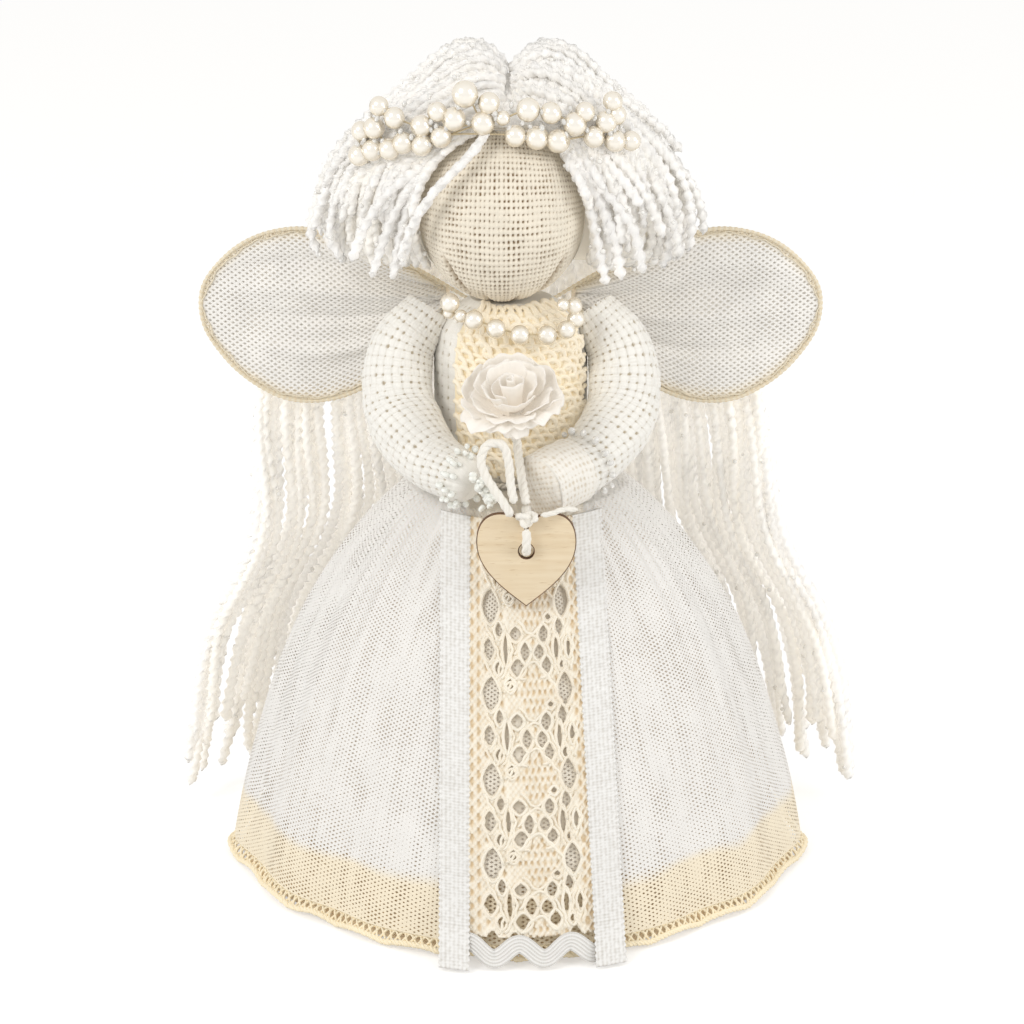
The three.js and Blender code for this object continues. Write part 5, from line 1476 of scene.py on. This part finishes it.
pearl_ivory = make_pearl_finish()
bead_clear = make_glass("bead_clear", (0.97, 0.955, 0.92), 0.05, 0.2)
bead_mint = make_glass("bead_mint", (0.975, 0.985, 0.935), 0.1, 0.0)
thread_gold = cloth_finish("thread_gold", (0.78, 0.66, 0.44), (0.6, 0.48, 0.3), 5000.0, 0.00002,
                           Roughness=0.5)


def model_bead(name, across, along, sides, rings, hole):
    """A bead drilled from pole to pole: each end is pushed in to the mouth of its hole."""
    bpy.ops.object.select_all(action="DESELECT")
    bpy.ops.mesh.primitive_uv_sphere_add(segments=sides, ring_count=rings, radius=MM)
    bead = bpy.context.active_object
    bead.name = name
    for end in (1, -1):
        bpy.ops.object.mode_set(mode="EDIT")
        bpy.ops.mesh.select_all(action="DESELECT")
        bpy.ops.object.mode_set(mode="OBJECT")
        for face in bead.data.polygons:
            face.select = face.center.z * end > MM * 0.93
        bpy.ops.object.mode_set(mode="EDIT")
        bpy.ops.mesh.select_mode(type="FACE")
        bpy.ops.mesh.extrude_region_move(TRANSFORM_OT_translate={"value": (0, 0, -end * hole * MM)})
        bpy.ops.transform.resize(value=(0.6, 0.6, 1))
    bpy.ops.mesh.select_all(action="SELECT")
    bpy.ops.transform.resize(value=(across, across, along))
    bpy.ops.object.mode_set(mode="OBJECT")
    bpy.ops.object.shade_smooth()
    return bead


def copy_piece(template, name, size, turn, place):
    mesh = template.data.copy()
    mesh.transform(Matrix.LocRotScale(Vector(place) * MM, turn, Vector((size, size, size))))
    return new_object(name, mesh)


def set_material(obj, material):
    obj.data.materials.clear()
    obj.data.materials.append(material)


def string_beads(template, name, spots, material, replaces=(), lean=None, seed=1):
    """Copies of a bead at places with sizes, joined, each turned its own way about the thread's direction."""
    rng = np.random.default_rng(seed)
    pieces = []
    for number, (x, y, z, size) in enumerate(spots):
        thread = Vector(lean[number]) if lean else Vector((1, 0, 0)) + Vector(rng.uniform(-0.5, 0.5, 3))
        turn = thread.to_track_quat("Z", "Y")
        pieces.append(copy_piece(template, f"{name}_{number}", size, turn, (x, y, z)))
    select_only(*pieces)
    bpy.ops.object.join()
    joined = bpy.context.view_layer.objects.active
    joined.select_set(False)
    joined.name = name
    set_material(joined, material)
    settle(joined, replaces)


def crown_beads():
    """Places of the small clear beads in the gaps between the crown's pearls."""
    rng = np.random.default_rng(12)
    spots = []
    for one, other in itertools.combinations(np.array(CROWN_PEARLS), 2):
        if np.linalg.norm(one[:3] - other[:3]) < one[3] + other[3] + 1.6:
            middle = mix(one[:3], other[:3], one[3] / (one[3] + other[3]))
            middle = middle + (rng.uniform(-0.8, 0.8), rng.uniform(-1.6, -0.6), rng.uniform(-0.8, 0.8))
            spots.append((*middle, rng.uniform(0.8, 1.1)))
    for x, _, z, size in CROWN_PEARLS[::2]:
        y = np.interp(x, CROWN_LINE[:, 0], CROWN_LINE[:, 1]) + 0.6
        spots.append((x + rng.uniform(-3, 3), y, z + size + rng.uniform(0.4, 1.6), rng.uniform(0.8, 1.05)))
    return spots


def make_pearls():
    template = model_bead("pearl", 1.0, 0.97, 28, 18, 0.1)
    for node, spots, seed in (("crown_pearls_low", LOW_PEARLS, 3), ("crown_pearls_high", HIGH_PEARLS, 4),
                              ("necklace", NECKLACE_PEARLS, 5)):
        string_beads(template, node + "_strung", spots, pearl_ivory, [node], seed=seed)
    bpy.data.objects.remove(template)


BRACELET_GAP = 1.35  # from the sleeve's surface to the middles of its beads
HAND_BEAD_COUNT = 36


def bracelet_beads(side, rings):
    """Places and thread directions of the beads round a sleeve, and of the cluster at the left hand."""
    rng = np.random.default_rng(20 + side)
    spots, lean = [], []
    for share, count in rings:
        line, along, first, second = (value[0] for value in arm_frame(side, [share]))
        reach = ARM_RADIUS * read_table(ARM_WIDTH_SHARES, share) + BRACELET_GAP
        for k in range(count):
            turn = 2 * math.pi * (k + rng.uniform(-0.15, 0.15)) / count
            outward = first * math.cos(turn) + second * math.sin(turn)
            middle = line + outward * reach + along * rng.uniform(-0.5, 0.5)
            spots.append((*middle, rng.uniform(0.8, 1.35)))
            lean.append(np.cross(along, outward))
    for share in rng.random(HAND_BEAD_COUNT) if side < 0 else ():
        middle = mix(*HAND_BEADS, share) + rng.normal(0, 1, 3) * (1.4, 0.6, 1.1)
        spots.append((*middle, rng.uniform(0.75, 1.3)))
        lean.append(rng.normal(0, 1, 3))
    return spots, lean


def make_seed_beads():
    template = model_bead("seed", 1.0, 0.72, 12, 8, 0.3)
    string_beads(template, "crown_seed_beads", crown_beads(), bead_clear, seed=6)
    for side, node, material, rings in (
            (-1, "bracelet_left", bead_mint, ((0.915, 13), (0.94, 12), (0.962, 10))),
            (1, "bracelet_right", bead_clear, ((0.77, 15),))):
        spots, lean = bracelet_beads(side, rings)
        string_beads(template, node + "_beads", spots, material, [node], lean)
    bpy.data.objects.remove(template)


def make_threads():
    """Fine gold thread through the crown's and the necklace's pearls."""
    cloth = Cloth()
    low, high = sorted(LOW_PEARLS), sorted(HIGH_PEARLS)
    low.insert(6, CROWN_PEARLS[2])
    for row in (low, high, NECKLACE_PEARLS):
        line = curve_through([spot[:3] for spot in row], 0.8) + (0, 1.6, 0)
        cloth.add_tube(rings_along(line, 0.28, FORWARD, 5))
    cloth.piece("pearl_thread", thread_gold, (), "wire")


make_pearls()
make_seed_beads()
make_threads()


# Rose
# Its second colour is painted shade, which the rose takes towards the petals' feet, low in the bud and on the
# calyx.
petal_white = cloth_finish("petal_white", (0.86, 0.82, 0.765), (0.86, 0.79, 0.7), 700.0, 0.00014, 0.03,
                           Roughness=0.5, Sheen_Weight=0.3, **glow(0.1, (1.0, 0.93, 0.81)))
ROSE_FRONT = unit(np.array((0.0, -1.0, 0.0)) + ROSE_AXIS[1] * ROSE_AXIS)
ROSE_SIDE = np.cross(ROSE_AXIS, ROSE_FRONT)


def on_rose(radius, angle, height):
    """A place on the rose. The angle turns from its front to the doll's left, height is along its axis."""
    radius, angle, height = (np.asarray(v, float)[..., None] for v in (radius, angle, height))
    return ROSE_FOOT + radius * (np.cos(angle) * ROSE_FRONT + np.sin(angle) * ROSE_SIDE) + height * ROSE_AXIS


LEAF_THICKNESS = 0.18
PETAL_CRINKLE = 0.16
PETAL_NARROW = 0.55  # width of a petal's foot as a share of its width


def add_leaf(cloth, front, shade):
    """A thin sheet over a grid of points."""
    normal = unit(np.cross(np.gradient(front, axis=1), np.gradient(front, axis=0)))
    add_slab(cloth, front, front - normal * LEAF_THICKNESS, shade=shade)


def add_petal(cloth, middle, half_turn, profile, ruffle, rng):
    """A petal that fans out from its foot. profile holds radius and height from foot to rim."""
    across, along = np.meshgrid(np.linspace(-1, 1, 33), np.linspace(0, 1, 19))
    round_top = along * (1 - 0.2 * np.abs(across) ** 2.6 - 0.05 * np.sin(3.1 * across + rng.uniform(0, 6)))
    smooth = curve_through([(r, 0, h) for r, h in profile], 0.25)
    place = np.clip(round_top, 0, 1) * (len(smooth) - 1)
    radius, height = (np.interp(place, np.arange(len(smooth)), smooth[:, k]) for k in (0, 2))
    wide = half_turn * (PETAL_NARROW + (1 - PETAL_NARROW) * np.sin(math.pi * 0.62 * along))
    phase = rng.uniform(0, 6.3, 4)
    wave = (np.sin(5.2 * across + phase[0]) + 0.8 * np.sin(10.4 * across + phase[1])) * along ** 3
    veins = PETAL_CRINKLE * 0.6 * np.sin(19 * across + phase[2] + 2 * along) * (0.3 + along)
    height = height + ruffle * (0.55 * wave) + veins
    radius = radius + ruffle * 0.5 * np.sin(7 * across + phase[3]) * along ** 3 - veins * 0.4
    # Painted shade: darker towards the foot, and at the sides near it.
    shade = np.clip(0.55 - 0.7 * along + 0.2 * np.abs(across) * (1 - along), 0, 1)
    add_leaf(cloth, on_rose(radius, middle + across * wide, height), shade)


# Rings of petals: the node, the flat size in metres of its petals side by side, and the petals' foot. Each
# petal has its middle and half width in degrees, how much it ruffles, and its radius and height from there
PETAL_RINGS = (
    ("rose_petals_outer", (0.13, 0.0135), (3, 8), (
        (-62, 36, 1.0, (8.5, 10.4), (12.6, 11.2), (15.6, 10.2)),
        (2, 30, 1.0, (7, 9.4), (9.4, 8.8), (10.8, 6.8)),
        (64, 36, 1.1, (8.6, 10.6), (12.6, 11.8), (15.2, 11.2)),
        (128, 42, 0.9, (9, 9.5), (13, 13), (14.5, 17)),
        (-130, 42, 0.9, (9, 9.5), (13, 13), (14.5, 17)),
        (180, 38, 0.9, (8.5, 11), (12, 16), (13, 20.5)),
        (-28, 36, 1.0, (8, 10.4), (11, 10.8), (12.8, 10)),
        (34, 36, 1.0, (8, 10.4), (11, 11), (12.8, 10.4)),
        (-96, 38, 0.9, (8.5, 10.4), (12.4, 12.8), (14.6, 14)),
        (98, 38, 0.9, (8.5, 10.4), (12.4, 12.8), (14.4, 14)))),
    ("rose_petals_middle", (0.07, 0.0125), (3, 9), (
        (-5, 46, 0.7, (7.4, 11), (10.6, 12.8), (12.4, 13)),
        (68, 44, 0.7, (7.4, 11.2), (10.4, 14), (12, 15.4)),
        (140, 44, 0.7, (7, 11.6), (9.8, 15.6), (11.4, 19)),
        (-148, 44, 0.7, (7, 11.6), (9.8, 15.6), (11.4, 19)),
        (-76, 46, 0.7, (7.4, 11.2), (10.4, 14.2), (12, 15.8)))),
    ("rose_petals_inner", (0.052, 0.0108), (2.4, 10), (
        (12, 58, 0.5, (5.4, 12.4), (7.6, 15.6), (9.0, 16.8)),
        (100, 56, 0.5, (5.2, 12.6), (7.0, 16.6), (8.2, 19)),
        (-168, 56, 0.5, (5.0, 12.8), (6.8, 17.4), (8.0, 21)),
        (-78, 56, 0.5, (5.2, 12.6), (7.0, 16.6), (8.4, 18.6)))))


def make_rose():
    for number, (node, flat, foot, petals) in enumerate(PETAL_RINGS):
        rng = np.random.default_rng(300 + number)
        cloth = Cloth()
        for middle, half_turn, ruffle, *rest in petals:
            add_petal(cloth, math.radians(middle), math.radians(half_turn), (foot, *rest), ruffle, rng)
        piece = cloth.piece(node + "_cloth", petal_white, [node], "petal")


def make_bud():
    """A strip with a wavy rim, rolled nearly twice round in the middle of the rose, and a curl in it."""
    turn, rise = np.meshgrid(np.linspace(0, 2 * math.pi * 1.85, 90), np.linspace(0, 1, 14))
    share = turn / turn.max()
    radius = mix(1.0, 5.6, share ** 0.9) * (0.72 + 0.34 * rise ** 1.5)
    top = mix(21.2, 17.2, share ** 1.2) + 0.35 * np.sin(turn * 2.3) + 0.25 * np.sin(turn * 5.1)
    cloth = Cloth()
    # Painted shade: the roll is darker low down.
    add_leaf(cloth, on_rose(radius, turn + 0.7, mix(9.5, top, rise)), np.clip(0.75 - 0.9 * rise, 0, 1))
    turn, rise = np.meshgrid(np.linspace(0, 2 * math.pi * 1.2, 50), np.linspace(0, 1, 12))
    radius = mix(0.35, 1.5, turn / turn.max()) * (0.9 + 0.2 * rise)
    curl = on_rose(radius, turn + 2.0, mix(12, 20.6 - 0.12 * turn, rise))
    # Painted shade: the curl is darker low down, like the roll.
    add_leaf(cloth, curl, np.clip(0.7 - 0.8 * rise, 0, 1))
    piece = cloth.piece("rose_bud_roll", petal_white, ["rose_bud"], "petal")


def make_calyx():
    """The gathered feet of the petals, bound to the cord."""
    around = np.linspace(0, 2 * math.pi, 49)[:-1][None]
    rise = np.linspace(0, 1, 16)[:, None]
    pleats = 0.16 * np.sin(around * 11 + rise * 3) * rise
    cloth = Cloth()
    # A little painted shade all over the calyx.
    cloth.add_tube(on_rose(mix(1.7, 4.6, rise ** 1.6) + pleats, around, mix(-0.4, 6.8, rise)), shade=0.3)
    cloth.piece("rose_calyx_gather", petal_white, ["rose_calyx"], "petal")


# Wooden heart
HEART_WIDTH, HEART_HEIGHT, HEART_THICKNESS = 28.7, 27.0, 3.0
HEART_HOLE_RADIUS, HEART_HOLE_DROP = 2.15, 10.9
HEART_PLACE = (2.3, -50.6, 111.0)
HEART_TILT = math.radians(8.4)
BURNT_EDGE = 0.3


def make_birch():
    finish = Finish("birch_ply", Roughness=0.55, Specular_IOR_Level=0.35)
    grain = finish.noise(1.0, 4.0, finish.stretched(finish.place(), (55.0, 500.0, 900.0)))
    pores = finish.noise(1.0, 2.0, finish.stretched(finish.place(), (260.0, 900.0, 2600.0)))
    wood = finish.tones(grain, 0.35, 0.68, (0.8, 0.665, 0.47), (0.73, 0.58, 0.38))
    wood = finish.tones(finish.noise(90.0), 0.3, 0.7, wood, finish.blend(0.5, wood, (0.82, 0.7, 0.52)))
    finish.colour(finish.tones(pores, 0.62, 0.74, wood, (0.62, 0.46, 0.28)))
    finish.bump(grain, 0.00006)
    return finish.material


def make_burnt_edge():
    finish = Finish("burnt_edge", Roughness=0.7)
    layers = finish.noise(1.0, 3.0, finish.stretched(finish.place(), (300.0, 1400.0, 300.0)))
    char = finish.ramp(layers, 0.3, 0.75)
    finish.colour(finish.blend(char, (0.2, 0.1, 0.045), (0.055, 0.026, 0.012)))
    finish.bump(char, 0.00005)
    return finish.material


# The outline's points, and its handles before and after them, as shares of the half width and the height
HEART_POINTS = ((0, 0), (1, 0.69), (0.52, 1), (0, 0.79), (-0.52, 1), (-1, 0.69))
HANDLES_AFTER = ((0.3, 0.13), (1, 0.9), (0.24, 1), (-0.05, 0.93), (-0.8, 1), (-1, 0.36))
HANDLES_BEFORE = ((-0.3, 0.13), (1, 0.36), (0.8, 1), (0.05, 0.93), (-0.24, 1), (-1, 0.9))


def heart_place(across, up):
    """A place on the heart's outline in metres from its hole."""
    height = (up - 1) * HEART_HEIGHT + HEART_HOLE_DROP
    return (HEART_WIDTH / 2 * across * MM, height * MM, 0)


def heart_outline():
    data = bpy.data.curves.new("heart_outline", "CURVE")
    data.dimensions, data.fill_mode, data.resolution_u = "2D", "BOTH", 14
    data.extrude = (HEART_THICKNESS / 2 - BURNT_EDGE) * MM
    data.bevel_depth, data.bevel_resolution, data.offset = BURNT_EDGE * MM, 1, -BURNT_EDGE * MM
    outline = data.splines.new("BEZIER")
    outline.bezier_points.add(len(HEART_POINTS) - 1)
    outline.use_cyclic_u = True
    for number, point in enumerate(outline.bezier_points):
        point.handle_left_type = point.handle_right_type = "FREE"
        point.co = heart_place(*HEART_POINTS[number])
        point.handle_left = heart_place(*HANDLES_BEFORE[number])
        point.handle_right = heart_place(*HANDLES_AFTER[number])
    hole = data.splines.new("POLY")
    hole.points.add(31)
    hole.use_cyclic_u = True
    for k, point in enumerate(hole.points):
        turn = 2 * math.pi * k / 32
        point.co = (HEART_HOLE_RADIUS * MM * math.cos(turn), HEART_HOLE_RADIUS * MM * math.sin(turn), 0, 1)
    return data


def make_heart():
    """Laser-cut heart of thin birch: an outline and its hole, extruded, with burnt edges."""
    heart = new_object("heart_birch", heart_outline())
    select_only(heart)
    bpy.ops.object.convert(target="MESH")
    heart = bpy.context.view_layer.objects.active
    bpy.ops.object.mode_set(mode="EDIT")
    bpy.ops.mesh.select_all(action="SELECT")
    bpy.ops.mesh.remove_doubles(threshold=0.00001)
    bpy.ops.mesh.normals_make_consistent(inside=False)
    bpy.ops.object.mode_set(mode="OBJECT")
    set_material(heart, make_birch())
    heart.data.materials.append(make_burnt_edge())
    for face in heart.data.polygons:
        face.material_index = 0 if abs(face.normal.z) > 0.95 else 1
    heart.rotation_euler = (math.pi / 2 - HEART_TILT, 0, 0)
    heart.location = Vector(HEART_PLACE) * MM
    heart.select_set(True)
    bpy.ops.object.transform_apply(location=True, rotation=True)
    bpy.ops.object.shade_smooth_by_angle(angle=math.radians(30))
    heart.select_set(False)
    settle(heart, ["heart_charm"], "heart_charm")


make_rose()
make_bud()
make_calyx()
make_heart()


# Wings
wing_beige = cloth_finish("wing_beige", (0.97, 0.945, 0.905), (0.94, 0.85, 0.68), 3600.0, 0.00003, 0.1)
rim_beige = cloth_finish("rim_beige", (0.9, 0.82, 0.66), (0.8, 0.66, 0.44), 4200.0, 0.00008, 0.12)
wing_under = cloth_finish("wing_under", (0.99, 0.95, 0.89), (0.95, 0.82, 0.6), 1500.0, 0.0001, 0.16,
                          **glow(0.1, (1.0, 0.94, 0.86)))
WING_COLUMNS = 64
WING_ROWS = 62
WING_ROOT_SHARE = 0.035
WING_TIP_SHARE = 0.985
WING_BAND = 4.2  # width of the darker band along the wire
WING_BEHIND = (0, -1, 0.02)  # a direction that no stretch of the wire follows


def wing_half(share):
    return WING_HALF_WIDTH * np.maximum(np.sin(math.pi * np.clip(share, 0, 1) ** 1.3), 0) ** 0.6


def wing_middle(share):
    return 168.5 - 4 * share - 5.5 * np.sin(math.pi * np.maximum(share, 0) ** 0.7)


def wing_place(side, share, across, back=0.0):
    return xyz(BODY_LEAN + side * (WING_ROOT_X + WING_LENGTH * share),
               26 - 1.5 * np.sin(math.pi * share) + back, wing_middle(share) + across)


def wing_crease(share, across, half):
    """Soft folds that fan from the root over the wing."""
    lane = across / np.maximum(half, 1)
    folds = sum(depth * np.exp(-((lane - at) / wide) ** 2) for at, wide, depth in
                ((-0.42, 0.09, 2.0), (-0.02, 0.08, -1.8), (0.3, 0.1, 2.1), (0.62, 0.09, -1.6)))
    return folds * (1 - smoothstep(share, 0.45, 1.0))


def make_wing_net(side, word):
    """Open net in front, gathered a little at the root, and a denser layer just behind it."""
    def spread(a, u):
        share = mix(WING_ROOT_SHARE, WING_TIP_SHARE, a / WING_COLUMNS)
        lane = u / WING_ROWS * 2 - 1
        return share, lane, lane * WING_HALF_WIDTH * mix(0.62, 1.0, smoothstep(share, 0.0, 0.6))

    def place(a, u):
        share, lane, across = spread(a, u)
        half = wing_half(share)
        across = np.clip(across + 1.2 * np.sin(share * 9 + lane * 2) * (1 - share), -half + 0.3, half - 0.3)
        return wing_place(side, share, across, wing_crease(share, across, half) * side)

    def keep(a, u):
        share, _, across = spread(a, u)
        return np.abs(across) < wing_half(share) + 0.4

    def tint(points):
        share = (np.abs(points[:, 0] - BODY_LEAN) - WING_ROOT_X) / WING_LENGTH
        gap = wing_half(share) - np.abs(points[:, 2] - wing_middle(share))
        return np.clip(1.1 - gap / WING_BAND + 0.25 * uneven(points[:, 0], points[:, 2], 7, 5), 0, 1)

    net = Cloth()
    add_net(net, WING_COLUMNS, WING_ROWS, place, (0.54, 0.43), tint,
            lambda a, u: 0.95 + 0.2 * uneven(a, u, 5.0, 56) + 0.1 * uneven(a, u, 1.7, 57), keep)
    node = f"wing_net_{word}"
    net = net.piece(node + "_mesh", wing_beige, [node], "wing_net")
    thicken(net, 0.22)
    share = 0.02 + 0.965 * np.sin(np.linspace(0, math.pi / 2, 60))[None]
    half = np.maximum(wing_half(share) - 0.5, 0.1)
    lane = np.linspace(-1, 1, 50)[:, None]
    behind = wing_crease(share, lane * half, half) * side + 0.55 + 0.2 * (1 - lane ** 2)
    layer = wing_place(side, share, lane * half, behind)
    under = Cloth()
    under.add_grid(layer if side > 0 else layer[:, ::-1],
                   shade=np.clip(1.1 - (half - np.abs(lane * half)) / WING_BAND, 0, 1))
    under = under.piece(node + "_back", wing_under, [node], "wing_net")
    thicken(under, 0.2)


def make_wing_rim(side, word):
    """The wound wire round a wing with its two legs, and the net's turned-over edge inside it: a zigzag
    thread and the cut edge."""
    rounding = 0.9 + 0.1 * np.sin(np.linspace(0.05, math.pi / 2, 24))
    share = np.concatenate([np.linspace(0.04, 0.9, 60), rounding])
    upper = wing_place(side, share, wing_half(share))
    lower = wing_place(side, share[:-1], -wing_half(share[:-1]))[::-1]
    edge = respaced(np.concatenate([upper, lower]), 0.5)
    top, foot = (bodice_point(math.pi, height, 1.2) * (0, 1, 1) + (BODY_LEAN + side * 3, 0, 0)
                 for height in (162, 157))
    legs = mix(top, edge[0], 0.5), mix(foot, edge[-1], 0.5)
    route = curve_through([top, legs[0], *edge[::24], edge[-1], legs[1], foot], 0.5)
    rim = Cloth()
    turns = np.linspace(0, length_of(route), len(route))
    winding = np.sin(2 * math.pi * turns / 1.7)
    rings = rings_along(route, 0.6 + 0.1 * winding + 0.06 * np.sin(turns / 3.3), WING_BEHIND, 9)
    rim.add_tube(rings, shade=np.repeat(0.35 + 0.35 * winding, 9), length=turns[-1])
    inward = unit(np.cross(directions_of(edge), (0, -side, 0)))
    turns = np.linspace(0, length_of(edge), len(edge))
    zigzag = mix(0.3, 1.3, 0.5 + 0.5 * np.sin(2 * math.pi * turns / 1.9))
    cut = 1.3 + (0.3 * np.sin(turns / 2.1) + 0.2 * np.sin(turns / 0.9))
    for inset, forward, sides, shade in ((zigzag, 0.2, 4, 0.3), (cut, 0.5, 5, 0.2)):
        line = edge + inward * inset[:, None] + xyz(0, -forward, 0)
        rim.add_tube(rings_along(line, 0.2, WING_BEHIND, sides), shade=shade)
    rim.piece(f"wing_rim_{word}", rim_beige, [f"wing_wire_{word}"], "wing_net")


for wing_side, wing_word in ((-1, "left"), (1, "right")):
    make_wing_net(wing_side, wing_word)
    make_wing_rim(wing_side, wing_word)


# Finishes of the parts that keep the frame's own shape
def make_card():
    finish = Finish("card", Roughness=0.9)
    finish.colour(finish.tones(finish.noise(900.0, 4.0), 0.35, 0.7, (0.78, 0.74, 0.66), (0.7, 0.65, 0.56)))
    finish.bump(finish.noise(1800.0, 3.0), 0.0001)
    return finish.material


def make_foam():
    finish = Finish("foam", Roughness=0.8, Subsurface_Weight=0.1)
    bead = finish.node("ShaderNodeTexVoronoi", {"Vector": finish.place(), "Scale": 420.0}).outputs["Distance"]
    finish.colour(finish.tones(bead, 0.1, 0.7, (0.93, 0.93, 0.92), (0.82, 0.82, 0.81)))
    finish.bump(bead, -0.0003)
    return finish.material


def make_dowel_wood():
    finish = Finish("dowel_wood", Roughness=0.6)
    grain = finish.noise(1.0, 3.0, finish.stretched(finish.place(), (900.0, 900.0, 40.0)))
    finish.colour(finish.tones(grain, 0.3, 0.7, (0.8, 0.64, 0.43), (0.68, 0.5, 0.3)))
    finish.bump(grain, 0.0001)
    return finish.material


def make_wire():
    finish = Finish("wire", Metallic=1.0, Roughness=0.35)
    drawn = finish.noise(2600.0)
    finish.colour(finish.tones(drawn, 0.35, 0.7, (0.8, 0.78, 0.74), (0.62, 0.59, 0.54)))
    finish.bump(drawn, 0.00004)
    return finish.material


card, foam, dowel_wood, wire = make_card(), make_foam(), make_dowel_wood(), make_wire()
for node, material in (("base_disc", card), ("skirt_cone", foam), ("head_ball", foam),
                       ("body_dowel", dowel_wood), ("arm_wire", wire), ("crown_band", wire)):
    set_material(bpy.data.objects[node], material)


# Floor, backdrop and light
WORLD_LIGHT = 0.665
FLOOR_GLOW = 0.43


def camera_only(nodes, links, seen, lit):
    """Mixes what the camera, mirrors and glass see with what lights the object."""
    path = nodes.new("ShaderNodeLightPath")
    share = path.outputs["Is Camera Ray"]
    for ray in ("Is Glossy Ray", "Is Transmission Ray"):
        either = nodes.new("ShaderNodeMath")
        either.operation = "MAXIMUM"
        links.new(share, either.inputs[0])
        links.new(path.outputs[ray], either.inputs[1])
        share = either.outputs[0]
    pick = nodes.new("ShaderNodeMixShader")
    for place, socket in enumerate((share, lit, seen)):
        links.new(socket, pick.inputs[place])
    return pick.outputs[0]


def make_floor():
    """A plain floor that shows a little lighter than it lights the object, and keeps its shadow."""
    bpy.ops.object.select_all(action="DESELECT")
    bpy.ops.mesh.primitive_plane_add(size=6.0, location=(0, 1.6, -0.0002))
    floor = bpy.context.active_object
    floor.name = "floor"
    bpy.ops.object.transform_apply(location=True)
    finish = Finish("floor_white", Base_Color=(0.8, 0.8, 0.8, 1), Roughness=0.9, Specular_IOR_Level=0.0)
    light = finish.node("ShaderNodeEmission", {"Strength": FLOOR_GLOW}).outputs[0]
    both = finish.node("ShaderNodeAddShader", {0: finish.shader.outputs[0], 1: light}).outputs[0]
    shown = camera_only(finish.nodes, finish.links, both, finish.shader.outputs[0])
    finish.links.new(shown, finish.nodes["Material Output"].inputs["Surface"])
    floor.data.materials.append(finish.material)


def make_world():
    world = bpy.data.worlds.new("studio")
    bpy.context.scene.world = world
    world.use_nodes = True
    nodes, links = world.node_tree.nodes, world.node_tree.links
    nodes.clear()
    seen, lit = nodes.new("ShaderNodeBackground"), nodes.new("ShaderNodeBackground")
    seen.inputs["Strength"].default_value = 1.0
    seen.inputs["Color"].default_value = (1, 1, 1, 1)
    lit.inputs["Color"].default_value = (1.0, 0.985, 0.955, 1)
    lit.inputs["Strength"].default_value = WORLD_LIGHT
    output = nodes.new("ShaderNodeOutputWorld")
    links.new(camera_only(nodes, links, seen.outputs[0], lit.outputs[0]), output.inputs["Surface"])


LAMP_TARGET = (0, 0, 0.12)


def add_lamp(name, place, size, power):
    data = bpy.data.lights.new(name, "AREA")
    data.size, data.energy = size, power
    aim(new_object(name, data), place, LAMP_TARGET)


make_floor()
make_world()
add_lamp("lamp_left", (-0.75, -0.85, 0.95), 0.5, 5.0)
add_lamp("lamp_right", (0.9, -0.7, 0.75), 0.5, 3.0)
add_lamp("lamp_low_left", (-1.1, -0.35, 0.16), 0.4, 1.9)
add_lamp("lamp_low_right", (1.1, -0.35, 0.16), 0.4, 2.1)
bpy.context.scene.view_settings.view_transform = "Standard"
